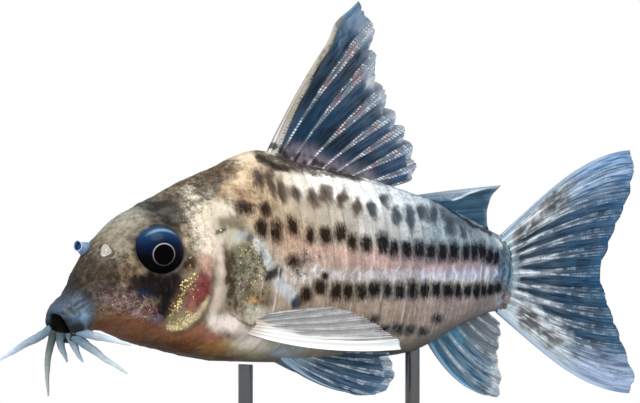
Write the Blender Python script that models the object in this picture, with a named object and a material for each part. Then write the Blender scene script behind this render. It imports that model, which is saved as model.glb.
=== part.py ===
# A corydoras catfish, life size and still, on a plain display stand.
# Blender units are metres, +Z is up. The head points to -X and the fish's left side faces -Y.
# Every size below is in millimetres. MM turns it into metres where a mesh or curve is made.
#
# The fish is drawn straight first, in (a, b, z): a runs back from the snout, b is to the
# fish's right and z is the height over the table. The last step bends it, so that the
# head and the tail both turn a little towards the left side, as in a slow turn.

import math
import random

import bmesh
import bpy
import numpy as np
from mathutils import Matrix, Vector

MM = 0.001
GAP = 0.3
WELD = 0.001
SIDES = ("left", "right")

# The bend of the back, in degrees, and the stations where it starts and ends.
HEAD_TURN = 14.0
TAIL_TURN = 10.0
HEAD_STIFF_TO = 12.0
STRAIGHT_AT = 30.0
TAIL_STIFF_FROM = 54.0
STAND_CENTRE_STATION = 33.0

# The body is a row of ribs. Each one is a closed section between a point of the back line
# and a point of the belly line, given as (a, z), then its half width, the height of its
# widest level as a share of its depth, and how full it is above and below that level
# (2 is an ellipse, less is a ridge and more is a flat).
RIBS = (
    (1.5, 18.5, 4.4, 13.9, 2.9, 0.46, 2.0, 2.0),  # root of the lips
    (2.7, 20.7, 6.0, 14.0, 3.6, 0.46, 2.0, 2.1),  # tip of the snout
    (5.1, 23.8, 8.2, 13.3, 4.5, 0.46, 2.0, 2.2),  # nostrils
    (8.3, 26.3, 9.8, 12.7, 5.5, 0.45, 2.0, 2.3),  # front of the eye
    (11.8, 28.1, 11.4, 12.3, 6.2, 0.43, 1.95, 2.4),  # back of the eye
    (15.9, 30.0, 13.4, 11.9, 6.8, 0.41, 1.85, 2.5),  # cheek
    (20.3, 31.9, 15.8, 11.3, 7.3, 0.39, 1.75, 2.6),  # nape and gill opening
    (23.3, 33.2, 19.4, 10.7, 7.5, 0.38, 1.72, 2.65),  # shoulder
    (26.2, 33.5, 24.6, 10.4, 7.4, 0.38, 1.7, 2.7),  # root of the dorsal spine
    (31.0, 32.0, 30.0, 10.4, 6.9, 0.38, 1.7, 2.6),  # under the dorsal fin
    (37.4, 30.6, 36.8, 10.7, 5.8, 0.40, 1.75, 2.4),  # middle of the body
    (43.4, 28.8, 43.2, 11.8, 4.3, 0.44, 1.85, 2.2),  # before the anal fin
    (48.4, 26.7, 48.4, 14.3, 2.9, 0.47, 1.95, 2.1),  # tail stalk
    (52.0, 24.7, 52.0, 15.8, 1.9, 0.49, 2.0, 2.0),  # tail stalk, narrowest
    (54.5, 24.3, 54.5, 16.2, 1.2, 0.50, 2.0, 2.0),  # root of the tail fin
)
LIPS_RIB = 0
GILL_RIB = 6
TAIL_RIB = len(RIBS) - 1

# The armour: a row of plates above the lateral line and a row below it, on each side.
PLATES = 20
FIRST_PLATE = 26.2
FIRST_PLATE_LENGTH = 1.85
LAST_PLATE_LENGTH = 0.95
PLATE_VARIES = 0.05
PLATE_SEED = 4
PLATE_RISE = 0.36
PLATE_STEP = 0.1
PLATE_BOW = 0.5
STALK_PLATE = 12
FRONT_RINGS = 6
SETTLING_PLATES = 3
SEAM_ANGLE = math.radians(11)
SEAM_DEPTH = 0.15
SEAM_HALF = math.radians(3)
BELLY_FADE = math.radians(14)
BELLY_ANGLE = math.radians(-62)
BACK_COLUMNS = 8
FLANK_COLUMNS = 9
BELLY_COLUMNS = 3

# Points round the head, rings along it, and points round a ball, a tube and a plate.
HEAD_COLUMNS = 36
HEAD_RINGS = 17
BALL_POINTS = 24
TUBE_POINTS = 14
PLATE_POINTS = 24

# Eyes, nostrils and gill covers, each on the side of the head at (a, z).
EYE_AT = (10.5, 23.1)
EYE_RADIUS = 2.75
EYE_SUNK = 0.95
NOSTRIL_AT = (4.8, 23.0)
NOSTRIL_RADIUS = 0.6
NOSTRIL_FLARE = 1.3
NOSTRIL_RIM = 0.28
NOSTRIL_LENGTH = 2.2
NOSTRIL_HEIGHT = 0.7
NOSTRIL_PIT_DEPTH = 0.7
PLATE_RIM = 0.6
GILL_COVER_AT = (14.2, 17.6)
GILL_COVER_HALF = (2.1, 4.2)
GILL_COVER_LEAN = 0.2
GILL_COVER_RISE = 0.3
CHAMBER_REACH = 2.0
GILL_COVER_SINK = 0.75
SHOULDER_AT = (21.4, 19.6)
SHOULDER_HALF = (2.6, 4.3)
SHOULDER_LEAN = -0.28
SHOULDER_RISE = 0.35
SHOULDER_SINK = 0.6
D_FRONT = 0.75

# The lips, drawn in the same way as the ribs: out from the snout, round the edge and back in
# to a short open throat.
LIPS = (
    (1.2, 18.2, 3.9, 13.45, 2.85, 0.47, 2.0, 2.0),  # on the snout
    (0.5, 17.1, 3.1, 12.95, 2.8, 0.48, 2.0, 2.0),  # below the snout
    (0.0, 16.2, 2.4, 12.65, 2.6, 0.48, 2.0, 2.0),  # fleshy part
    (-0.2, 15.6, 1.9, 12.7, 2.2, 0.49, 2.0, 2.0),  # edge of the lips
    (0.0, 15.3, 1.6, 13.0, 1.7, 0.5, 2.0, 2.0),  # opening
    (0.5, 15.3, 1.7, 13.5, 1.3, 0.5, 2.0, 2.0),  # throat
    (1.1, 15.5, 2.1, 13.9, 1.0, 0.5, 2.0, 2.0),  # end of the throat
)
LIP_EDGE = 3
LIP_COLUMNS = 28
RICTUS_AT = (2.0, 2.7, 14.9)
RICTUS_RADIUS = 0.85

# The barbels: root, middle and tip as (a, b, z), and the radius of the root.
BARBELS = {
    "barbel_upper_right": ((1.0, 1.9, 14.2), (-1.2, 4.6, 12.3), (-2.8, 7.0, 10.7), 0.5),
    "barbel_lower_right": ((1.1, 1.5, 14.0), (0.7, 2.3, 10.5), (1.2, 3.0, 6.9), 0.45),
    "barbel_chin_right": ((1.5, 0.7, 13.8), (1.7, 0.9, 12.2), (2.4, 1.0, 10.6), 0.6),
    "barbel_chin_left": ((1.8, -0.8, 13.8), (2.2, -1.0, 12.2), (3.1, -1.2, 10.6), 0.6),
    "barbel_lower_left": ((1.7, -1.6, 13.6), (3.9, -3.1, 11.5), (6.7, -4.5, 9.4), 0.55),
    "barbel_upper_left": ((1.4, -2.0, 14.2), (4.1, -4.0, 13.2), (6.6, -5.5, 12.5), 0.5),
}
BARBEL_TIP = 0.14
BARBEL_POINTS = 10

# Half thicknesses of the fins: skin, soft ray, outer edge, and how many rays wide a spine is.
FIN_SKIN = 0.25
FIN_RAY = 0.36
FIN_EDGE = 0.16
SPINE_WIDTH = 0.6
COLUMNS_PER_RAY = 3

# The fins. tips are the ends of the rays, from the leading edge to the inner edge. The rays
# start on a line between two points, or along the back or the belly between two stations and
# this far under the skin. bow is how far the middle of the first and of the last ray stands
# off a straight line. spine and root are the half thicknesses of the first ray and of the
# place where the fin leaves the body, and notch is how far the skin falls short between rays.
TAIL_MIDDLE = 20.25
TAIL_SPLIT = 0.34
UNBOWED = (0, 0, 0)
FINS = {
    "dorsal_fin": {
        "back": (26.9, 37.4), "sunk": 1.4, "bow": ((-0.6, 0, 0.4), (0, 0, -0.3)),
        "spine": 0.5, "root": 0.6, "rows": 8, "notch": 0.06,
        "tips": ((37.1, 0, 50.1), (38.9, 0, 47.3), (39.2, 0, 43.9), (40.2, 0, 40.2), (41.3, 0, 37.8),
                 (42.3, 0, 36.2), (43.2, 0, 34.2), (43.8, 0, 31.9), (43.1, 0, 30.3)),
    },
    "adipose_fin": {
        "back": (46.3, 51.4), "sunk": 1.0, "bow": ((0, 0, 0.7), UNBOWED),
        "spine": 0.45, "root": 0.5, "rows": 6, "notch": 0.0,
        "tips": ((53.2, 0, 29.8), (52.0, 0, 28.6), (51.5, 0, 27.0), (51.9, 0, 25.9), (52.8, 0, 25.4)),
    },
    "tail_fin_upper": {
        "line": ((53.2, 0, 23.7), (53.2, 0, TAIL_MIDDLE + TAIL_SPLIT / 2)),
        "bow": ((-0.4, 0, 2.0), UNBOWED), "spine": 0.4, "root": 0.7, "rows": 7, "notch": 0.06,
        "tips": ((67.6, 0, 33.7), (68.1, 0, 31.6), (67.2, 0, 28.7), (66.2, 0, 26.6), (65.3, 0, 24.6),
                 (64.6, 0, 22.6), (64.1, 0, TAIL_MIDDLE + TAIL_SPLIT / 2)),
    },
    "tail_fin_lower": {
        "line": ((53.2, 0, 16.7), (53.2, 0, TAIL_MIDDLE - TAIL_SPLIT / 2)),
        "bow": ((-0.4, 0, -2.0), UNBOWED), "spine": 0.4, "root": 0.7, "rows": 7, "notch": 0.06,
        "tips": ((66.9, 0, 6.9), (68.2, 0, 9.2), (67.3, 0, 11.6), (66.5, 0, 13.6), (65.6, 0, 15.6),
                 (64.9, 0, 17.8), (64.2, 0, TAIL_MIDDLE - TAIL_SPLIT / 2)),
    },
    "anal_fin": {
        "belly": (45.8, 51.2), "sunk": 1.0, "bow": ((-0.3, 0, -1.1), UNBOWED),
        "spine": 0.45, "root": 0.5, "rows": 7, "notch": 0.06,
        "tips": ((51.3, 0, 6.6), (52.9, 0, 6.5), (53.2, 0, 8.7), (52.8, 0, 10.6), (52.9, 0, 12.0),
                 (53.1, 0, 13.4), (53.0, 0, 14.6)),
    },
    # The left pelvic fin hangs and spreads below the belly. The right one is held closer to it.
    "pelvic_fin_left": {
        "line": ((26.8, -3.0, 11.4), (30.2, -2.6, 11.6)),
        "bow": ((0, 0, -0.7), UNBOWED), "spine": 0.45, "root": 0.5, "rows": 7, "notch": 0.06,
        "tips": ((34.3, -5.0, 6.8), (36.8, -5.3, 6.6), (38.9, -5.2, 7.4), (39.9, -4.9, 8.9),
                 (39.7, -4.5, 10.3), (39.4, -4.3, 11.4)),
    },
    "pelvic_fin_right": {
        "line": ((26.8, 3.0, 11.4), (30.2, 2.6, 11.6)),
        "bow": ((0, 0, -0.7), UNBOWED), "spine": 0.45, "root": 0.5, "rows": 7, "notch": 0.06,
        "tips": ((35.6, 5.6, 8.4), (37.8, 6.0, 8.2), (39.6, 6.2, 8.9), (40.4, 6.2, 10.0),
                 (40.0, 6.1, 11.0), (39.5, 6.0, 11.9)),
    },
    # Both pectoral fins are held back along the flank, with the stiff spine lowest.
    "pectoral_fin_right": {
        "line": ((20.6, 6.0, 13.6), (21.6, 6.0, 14.5)),
        "bow": ((0, 0.8, -0.6), (0, 0.8, 0.4)), "spine": 0.5, "root": 0.5, "rows": 8, "notch": 0.06,
        "tips": ((39.6, 8.6, 12.0), (39.3, 8.7, 12.9), (38.2, 8.7, 13.6), (36.8, 8.6, 14.5),
                 (35.2, 8.6, 15.3), (33.4, 8.6, 16.0), (31.2, 8.6, 16.5), (29.2, 8.5, 16.3)),
    },
}

# The stand.
BASE_SIZE = (48.0, 27.0, 3.0)
BASE_CORNER = 6.0
BASE_EDGE = 0.5
ROD_RADIUS = 0.8
ROD_TOP = 16.0
ROD_STATIONS = {"stand_rod_front": 24.0, "stand_rod_rear": 43.2}

# Colours as linear red, green and blue, then roughness.
FINISHES = {
    "skin": ((0.30, 0.22, 0.14), 0.35),
    "armour": ((0.52, 0.46, 0.36), 0.35),
    "fin": ((0.10, 0.20, 0.33), 0.3),
    "barbel": ((0.28, 0.40, 0.50), 0.35),
    "eye": ((0.01, 0.02, 0.05), 0.05),
    "stand_base": ((0.05, 0.055, 0.06), 0.4),
    "stand_rod": ((0.55, 0.56, 0.58), 0.3),
}


def smooth_step(share):
    share = np.clip(share, 0.0, 1.0)
    return share * share * (3 - 2 * share)


def heading(a):
    """The direction of the back at a station, in radians, positive towards the left side."""
    head = HEAD_TURN * (1 - smooth_step((a - HEAD_STIFF_TO) / (STRAIGHT_AT - HEAD_STIFF_TO)))
    tail = TAIL_TURN * smooth_step((a - STRAIGHT_AT) / (TAIL_STIFF_FROM - STRAIGHT_AT))
    return np.radians(head - tail)


def bend_table():
    """Stations along the back and where the bent back runs there."""
    stations = np.linspace(-20.0, 90.0, 2201)
    step = stations[1] - stations[0]
    turn = heading(stations)
    x = np.cumsum(np.cos(turn)) * step
    y = np.cumsum(np.sin(turn)) * step
    x -= np.interp(STAND_CENTRE_STATION, stations, x)
    y -= np.interp(STAND_CENTRE_STATION, stations, y)
    return stations, x, y


STATIONS, BACK_X, BACK_Y = bend_table()


def bend(points):
    """Moves straight points (a, b, z) to their place in the bent fish, still in millimetres."""
    points = np.asarray(points, float)
    a, b, z = points[..., 0], points[..., 1], points[..., 2]
    turn = heading(a)
    x = np.interp(a, STATIONS, BACK_X) - b * np.sin(turn)
    y = np.interp(a, STATIONS, BACK_Y) + b * np.cos(turn)
    return np.stack([x, y, z], axis=-1)


def between(rows, at):
    """A smooth curve through rows, read at a place counted in rows."""
    rows = np.asarray(rows, float)
    rows = np.vstack([2 * rows[0] - rows[1], rows, 2 * rows[-1] - rows[-2]])
    at = np.asarray(at, float)
    first = np.clip(np.floor(at).astype(int), 0, len(rows) - 4)
    t = (at - first)[..., None]
    p0, p1, p2, p3 = (rows[first + k] for k in range(4))
    return p1 + 0.5 * t * (
        p2 - p0 + t * (2 * p0 - 5 * p1 + 4 * p2 - p3 + t * (3 * (p1 - p2) + p3 - p0))
    )


def bare_skin(rib, angle):
    """Points of the body's surface, at a place counted in ribs and an angle: 0 is the right
    side, 90 degrees the back and 180 the left side."""
    rib, angle = np.broadcast_arrays(np.asarray(rib, float), np.asarray(angle, float))
    return section(between(RIBS, rib), angle)


def section(row, angle):
    """Points of a closed section at an angle, from the values that RIBS lists."""
    back, belly = row[..., 0:2], row[..., 2:4]
    half_width, level = row[..., 4], row[..., 5:6]
    widest = belly + level * (back - belly)
    sine, cosine = np.sin(angle), np.cos(angle)
    power = 2 / np.where(sine >= 0, row[..., 6], row[..., 7])
    side = half_width * np.sign(cosine) * np.abs(cosine) ** power
    height = (np.abs(sine) ** power)[..., None]
    edge = np.where((sine >= 0)[..., None], back, belly)
    middle = widest + (edge - widest) * height
    return np.stack([middle[..., 0], side, middle[..., 1]], axis=-1)


def skin(rib, angle, lift=0.0):
    """Points of the straight body's surface, lifted along its outward normal, and the normals."""
    step = 0.01
    along = bare_skin(rib + step, angle) - bare_skin(rib - step, angle)
    around = bare_skin(rib, angle + step) - bare_skin(rib, angle - step)
    normal = np.cross(around, along)
    normal /= np.linalg.norm(normal, axis=-1, keepdims=True)
    return bare_skin(rib, angle) + np.asarray(lift)[..., None] * normal, normal


FINE_RIBS = np.linspace(0, TAIL_RIB, 400)
FINE_STATIONS = between(RIBS, FINE_RIBS)[:, [0, 2]].mean(axis=1)


def rib_at(station):
    """The place, counted in ribs, whose middle is at this station."""
    return np.interp(station, FINE_STATIONS, FINE_RIBS)


def on_side(a, z, right):
    """The rib and angle of the surface point that a side view shows at (a, z)."""
    ribs, angles = np.meshgrid(
        np.linspace(0, TAIL_RIB, 561), np.radians(np.linspace(-85, 85, 341)), indexing="ij"
    )
    points = bare_skin(ribs, angles)
    off = (points[..., 0] - a) ** 2 + (points[..., 2] - z) ** 2
    nearest = np.unravel_index(off.argmin(), off.shape)
    angle = angles[nearest]
    return ribs[nearest], angle if right else math.pi - angle


def from_bmesh(name, work, finish):
    """A smooth shaded object from a finished bmesh, with its faces turned outwards."""
    bmesh.ops.remove_doubles(work, verts=work.verts, dist=WELD * MM)
    bmesh.ops.recalc_face_normals(work, faces=work.faces)
    mesh = bpy.data.meshes.new(name)
    work.to_mesh(mesh)
    work.free()
    mesh.shade_smooth()
    mesh.materials.append(material(finish))
    obj = bpy.data.objects.new(name, mesh)
    FISH.objects.link(obj)
    return obj


def make_object(name, points, faces, finish):
    """An object from bent points in millimetres."""
    work = bmesh.new()
    corners = [work.verts.new(point) for point in np.asarray(points) * MM]
    for face in faces:
        work.faces.new([corners[index] for index in face])
    return from_bmesh(name, work, finish)


def material(finish):
    found = bpy.data.materials.get(finish)
    if found:
        return found
    colour, roughness = FINISHES[finish]
    made = bpy.data.materials.new(finish)
    made.use_nodes = True
    shader = made.node_tree.nodes["Principled BSDF"]
    shader.inputs["Base Color"].default_value = (*colour, 1)
    shader.inputs["Roughness"].default_value = roughness
    return made


def as_helper(obj):
    """Takes a cutter or a guide out of the model."""
    FISH.objects.unlink(obj)
    HELPERS.objects.link(obj)
    obj.hide_render = True
    obj.display_type = "WIRE"
    return obj


def largest_body(mesh):
    """Keeps the closed surface that holds the most volume and drops every other one."""
    work = bmesh.new()
    work.from_mesh(mesh)
    bmesh.ops.triangulate(work, faces=work.faces)
    left, bodies = set(work.faces), []
    while left:
        body, edge = set(), [left.pop()]
        while edge:
            face = edge.pop()
            body.add(face)
            for other in (f for e in face.edges for f in e.link_faces if f in left):
                left.discard(other)
                edge.append(other)
        corners = [[v.co for v in f.verts] for f in body]
        bodies.append((sum(p.dot(q.cross(r)) for p, q, r in corners), body))
    keep = max(bodies, key=lambda body: body[0])[1]
    bmesh.ops.delete(work, geom=[f for f in work.faces if f not in keep], context="FACES")
    work.to_mesh(mesh)
    work.free()


def apply_modifiers(obj):
    graph = bpy.context.evaluated_depsgraph_get()
    graph.update()
    mesh = bpy.data.meshes.new_from_object(obj.evaluated_get(graph))
    obj.modifiers.clear()
    obj.data = mesh
    largest_body(mesh)
    return obj


def cut(obj, *cutters):
    """Cuts closed mesh objects out of obj."""
    for cutter in cutters:
        modifier = obj.modifiers.new("cut by " + cutter.name, "BOOLEAN")
        modifier.operation = "DIFFERENCE"
        modifier.solver = "EXACT"
        modifier.object = cutter
    return apply_modifiers(obj)


def join(obj, pieces):
    """Joins closed mesh objects to obj in one union, then removes them."""
    group = bpy.data.collections.new("pieces of " + obj.name)
    for piece in pieces:
        FISH.objects.unlink(piece)
        group.objects.link(piece)
    modifier = obj.modifiers.new("join", "BOOLEAN")
    modifier.operation = "UNION"
    modifier.solver = "EXACT"
    modifier.operand_type = "COLLECTION"
    modifier.collection = group
    apply_modifiers(obj)
    for piece in pieces:
        bpy.data.objects.remove(piece)
    bpy.data.collections.remove(group)
    return obj


def loft(name, rings, finish):
    """A closed body through rings of points, with a fan over each end."""
    rings = np.asarray(rings)
    count, around = rings.shape[:2]
    points = list(rings.reshape(-1, 3)) + [rings[0].mean(axis=0), rings[-1].mean(axis=0)]
    faces = []
    for i in range(count - 1):
        for j in range(around):
            k = (j + 1) % around
            faces.append((i * around + j, i * around + k, (i + 1) * around + k, (i + 1) * around + j))
    last = (count - 1) * around
    for j in range(around):
        k = (j + 1) % around
        faces.append((count * around, k, j))
        faces.append((count * around + 1, last + j, last + k))
    return make_object(name, points, faces, finish)


def column_angles():
    """Angles round the body, with three close together at each seam between the plate rows."""
    right = np.concatenate([
        np.linspace(-math.pi / 2, BELLY_ANGLE, BELLY_COLUMNS, endpoint=False),
        np.linspace(BELLY_ANGLE, SEAM_ANGLE - SEAM_HALF, FLANK_COLUMNS),
        [SEAM_ANGLE],
        np.linspace(SEAM_ANGLE + SEAM_HALF, math.pi / 2, BACK_COLUMNS),
    ])
    left = math.pi - right[1:-1]
    return np.concatenate([right, left[::-1]])


ANGLES = column_angles()


def side_angle(angles):
    """Each angle folded to the right side, from -90 to 90 degrees."""
    return np.arcsin(np.clip(np.sin(angles), -1, 1))


def plate_lengths():
    """Lengths of the plates from front to rear, each a little off an even taper."""
    draw = random.Random(PLATE_SEED)
    lengths = []
    for number in range(PLATES):
        share = number / (PLATES - 1)
        even = FIRST_PLATE_LENGTH + share * (LAST_PLATE_LENGTH - FIRST_PLATE_LENGTH)
        lengths.append(even * draw.uniform(1 - PLATE_VARIES, 1 + PLATE_VARIES))
    return lengths


LENGTHS = plate_lengths()


def plate_ring(station, length, lift, shape=1.0, grow=0.0):
    """A ring that follows the rear edges of a pair of plates. The edges bow backwards, and the
    lower row sits half a plate ahead of the upper row. shape fades that to a plain ring, and
    grow moves the ring out and back."""
    fold = side_angle(ANGLES)
    upper = fold > SEAM_ANGLE
    middle = np.where(upper, (SEAM_ANGLE + math.pi / 2) / 2, (SEAM_ANGLE + BELLY_ANGLE) / 2)
    span = np.where(upper, math.pi / 2 - SEAM_ANGLE, SEAM_ANGLE - BELLY_ANGLE) / 2
    across = np.clip((fold - middle) / span, -1, 1)
    shift = PLATE_BOW * length * (1 - across**2) - np.where(upper, 0, length / 2)
    bare = smooth_step((fold - BELLY_ANGLE) / BELLY_FADE)
    at_seam = np.abs(fold - SEAM_ANGLE) < SEAM_HALF / 2
    rise = grow + lift * bare * (1 - at_seam) - SEAM_DEPTH * at_seam * shape
    return skin(rib_at(station + grow + shift * shape), ANGLES, rise)[0]


def armour(first, last, station, grow):
    """Rings of plates first to last, the first of which starts at station. Returns the rings
    and the station where the last plate ends."""
    rings = []
    for number in range(first, last):
        length = LENGTHS[number]
        ahead = LENGTHS[max(0, number - 1)]
        settle = 1 - smooth_step((number - PLATES + SETTLING_PLATES) / SETTLING_PLATES)
        rings.append(plate_ring(station + PLATE_STEP, ahead, 0.0, settle, grow))
        station += length
        rings.append(plate_ring(station, length, PLATE_RISE * settle, settle, grow))
    return rings, station


def torso_rings(grow=0.0):
    """From the gill openings, up to the level of the first plate and on over the plates."""
    start = FINE_STATIONS[np.searchsorted(FINE_RIBS, GILL_RIB)] + GAP
    rings = []
    for share in np.linspace(0, 1, FRONT_RINGS):
        station = start + share * (FIRST_PLATE - start)
        rings.append(plate_ring(station, FIRST_PLATE_LENGTH, PLATE_RISE * share, share**2, grow))
    plates, end = armour(0, STALK_PLATE, FIRST_PLATE, grow)
    return rings + plates, end


def stalk_rings(start, grow=0.0):
    """The narrow stalk behind the anal fin's front, plated to the root of the tail fin."""
    last = skin(np.full(len(ANGLES), float(TAIL_RIB)), ANGLES, np.full(len(ANGLES), grow))[0]
    last[:, 0] += grow
    return armour(STALK_PLATE, PLATES, start + GAP - PLATE_STEP, grow)[0] + [last]


def head_rings(count, angles, grow=0.0):
    ribs = np.linspace(LIPS_RIB, GILL_RIB, count)[:, None]
    return skin(ribs, angles[None, :], np.full((count, len(angles)), grow))[0]


def build_sleeve(end):
    """The whole body grown by the gap, which trims what grows from it."""
    head = head_rings(HEAD_RINGS, ANGLES, GAP)
    rings = np.vstack([head, torso_rings(GAP)[0], stalk_rings(end, GAP)])
    return as_helper(loft("sleeve", bend(rings), "skin"))


def bent_frame(rib, angle, lift):
    """A place on the bent surface, in millimetres, and the turn that points Z out of it."""
    point, normal = skin(np.array(float(rib)), np.array(float(angle)), np.array(float(lift)))
    here = bend(point)
    out = Vector(bend(point + 0.01 * normal) - here).normalized()
    return Vector(here), out.to_track_quat("Z", "Y").to_matrix().to_4x4()


def build_ball(name, place, turn, radius, finish, points=BALL_POINTS):
    work = bmesh.new()
    bmesh.ops.create_uvsphere(
        work, u_segments=points, v_segments=points // 2, radius=radius * MM,
        matrix=Matrix.Translation(place * MM) @ turn,
    )
    return from_bmesh(name, work, finish)


def build_eye(side):
    """An eyeball and the socket that it sits in."""
    rib, angle = on_side(*EYE_AT, right=side == "right")
    centre, turn = bent_frame(rib, angle, -EYE_SUNK)
    build_ball("eye_" + side, centre, turn, EYE_RADIUS, "eye")
    return as_helper(build_ball("socket_" + side, centre, turn, EYE_RADIUS + GAP, "skin"))


def build_nostril(side):
    """A short open tube of skin that stands on the snout, rooted well in it."""
    rib, angle = on_side(*NOSTRIL_AT, right=side == "right")
    centre, turn = bent_frame(rib, angle, NOSTRIL_HEIGHT - NOSTRIL_LENGTH / 2)
    work = bmesh.new()
    bmesh.ops.create_cone(
        work, cap_ends=True, segments=TUBE_POINTS, depth=NOSTRIL_LENGTH * MM,
        radius1=NOSTRIL_RADIUS * NOSTRIL_FLARE * MM, radius2=NOSTRIL_RADIUS * MM,
    )
    top = max(work.faces, key=lambda face: face.calc_center_median().z)
    bmesh.ops.inset_region(work, faces=[top], thickness=NOSTRIL_RIM * MM)
    for corner in top.verts:
        corner.co.z -= NOSTRIL_PIT_DEPTH * MM
    work.transform(Matrix.Translation(centre * MM) @ turn)
    return from_bmesh("nostril_" + side, work, "skin")


def build_plate(name, at, half, side, rise, sink, lean=0.0, finish="skin"):
    """A D shaped plate of bone that lies in the side of the body at (a, z), with its round
    side to the rear. half is its half length and half height, and lean slants it."""
    rib, angle = on_side(*at, right=side == "right")
    step = 0.05
    along = np.linalg.norm(bare_skin(rib + step, angle) - bare_skin(rib - step, angle)) / (2 * step)
    around = np.linalg.norm(bare_skin(rib, angle + step) - bare_skin(rib, angle - step)) / (2 * step)
    turn = np.linspace(0, 2 * math.pi, PLATE_POINTS, endpoint=False)
    cosine, sine = np.cos(turn), np.sin(turn)
    to_top = np.sign(sine) * np.abs(sine) ** 0.8 * half[1]
    to_rear = np.where(cosine > 0, cosine, D_FRONT * cosine) * half[0] + lean * to_top
    sign = 1 if side == "right" else -1
    layers = ((0.02, rise), (0.5, rise), (0.85, rise), (1.0, rise * (1 - PLATE_RIM)), (1.0, -sink),
              (0.5, -sink), (0.02, -sink))
    rings = [
        skin(rib + share * to_rear / along, angle + sign * share * to_top / around,
             np.full(PLATE_POINTS, lift))[0]
        for share, lift in layers
    ]
    return loft(name, bend(rings), finish)


def build_gill_cover(side):
    """A gill cover, and the chamber that it lies in."""
    build_plate("gill_cover_" + side, GILL_COVER_AT, GILL_COVER_HALF, side, GILL_COVER_RISE,
                GILL_COVER_SINK, GILL_COVER_LEAN)
    half = [size + GAP for size in GILL_COVER_HALF]
    return as_helper(
        build_plate("gill_chamber_" + side, GILL_COVER_AT, half, side, CHAMBER_REACH,
                    GILL_COVER_SINK + GAP, GILL_COVER_LEAN)
    )


def build_head(cutters):
    """From the lips to the gill openings, with its eye sockets, nostrils and gill chambers."""
    angles = np.linspace(-math.pi / 2, 3 * math.pi / 2, HEAD_COLUMNS, endpoint=False)
    head = loft("head", bend(head_rings(HEAD_RINGS, angles)), "skin")
    join(head, [build_nostril(side) for side in SIDES])
    cut(head, *cutters)


def build_torso():
    """From the gill openings to the tail stalk, with its shoulder plates and rows of plates."""
    rings, end = torso_rings()
    torso = loft("torso", bend(rings), "armour")
    shoulders = [
        build_plate("shoulder_" + side, SHOULDER_AT, SHOULDER_HALF, side, SHOULDER_RISE,
                    SHOULDER_SINK, SHOULDER_LEAN, "armour")
        for side in SIDES
    ]
    join(torso, shoulders)
    return end


def lip_ring(row, grow=0.0):
    """One ring of the lips. grow makes it larger all round."""
    angles = np.linspace(-math.pi / 2, 3 * math.pi / 2, LIP_COLUMNS, endpoint=False)
    middle = (row[0:2] + row[2:4]) / 2
    share = 1 + 2 * grow / np.linalg.norm(row[0:2] - row[2:4])
    grown = np.concatenate([
        middle + (row[0:2] - middle) * share, middle + (row[2:4] - middle) * share,
        [row[4] + grow], row[5:],
    ])
    return section(grown, angles)


def build_mouth():
    """The lips and their fleshy corners, which turn in to a short open throat."""
    rows = between(LIPS, np.linspace(0, len(LIPS) - 1, 2 * len(LIPS) - 1))
    mouth = loft("mouth", bend([lip_ring(row) for row in rows]), "barbel")
    corners = []
    for side, sign in zip(SIDES, (-1, 1)):
        a, b, z = RICTUS_AT
        place = Vector(bend((a, sign * b, z)))
        corners.append(
            build_ball("rictus_" + side, place, Matrix(), RICTUS_RADIUS, "barbel", TUBE_POINTS)
        )
    join(mouth, corners)
    rows = between(LIPS, np.linspace(0, LIP_EDGE, 2 * LIP_EDGE + 1))
    guard = [lip_ring(row, GAP) for row in rows]
    last = lip_ring(rows[-1], -GAP)
    ahead = guard[-1].mean(axis=0) - guard[0].mean(axis=0)
    guard.append(last + ahead / np.linalg.norm(ahead) * GAP)
    return as_helper(loft("lip_guard", bend(guard), "skin"))


def build_barbel(name, guard):
    """A soft tapering feeler that grows from the lips."""
    *path, radius = BARBELS[name]
    places = between(path, np.linspace(0, 2, BARBEL_POINTS))
    curve = bpy.data.curves.new(name, "CURVE")
    curve.dimensions = "3D"
    curve.bevel_depth = MM
    curve.bevel_resolution = 2
    curve.use_fill_caps = True
    spline = curve.splines.new("POLY")
    spline.points.add(BARBEL_POINTS - 1)
    for number, (point, place) in enumerate(zip(spline.points, bend(places) * MM)):
        point.co = (*place, 1)
        share = number / (BARBEL_POINTS - 1)
        point.radius = radius + (BARBEL_TIP - radius) * share
    tube = bpy.data.objects.new(name + "_curve", curve)
    FISH.objects.link(tube)
    graph = bpy.context.evaluated_depsgraph_get()
    graph.update()
    work = bmesh.new()
    work.from_mesh(bpy.data.meshes.new_from_object(tube.evaluated_get(graph)))
    bpy.data.objects.remove(tube)
    return cut(from_bmesh(name, work, "barbel"), guard)


def ray_roots(fin):
    """Where the rays of a fin start, inside the body."""
    count = len(fin["tips"])
    if "line" in fin:
        return np.linspace(*fin["line"], count)
    angle, column = (math.pi / 2, 0) if "back" in fin else (-math.pi / 2, 2)
    stations = np.linspace(*(fin["back"] if "back" in fin else fin["belly"]), count)
    ribs = np.interp(stations, between(RIBS, FINE_RIBS)[:, column], FINE_RIBS)
    return skin(ribs, np.full(count, angle), np.full(count, -fin["sunk"]))[0]


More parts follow.
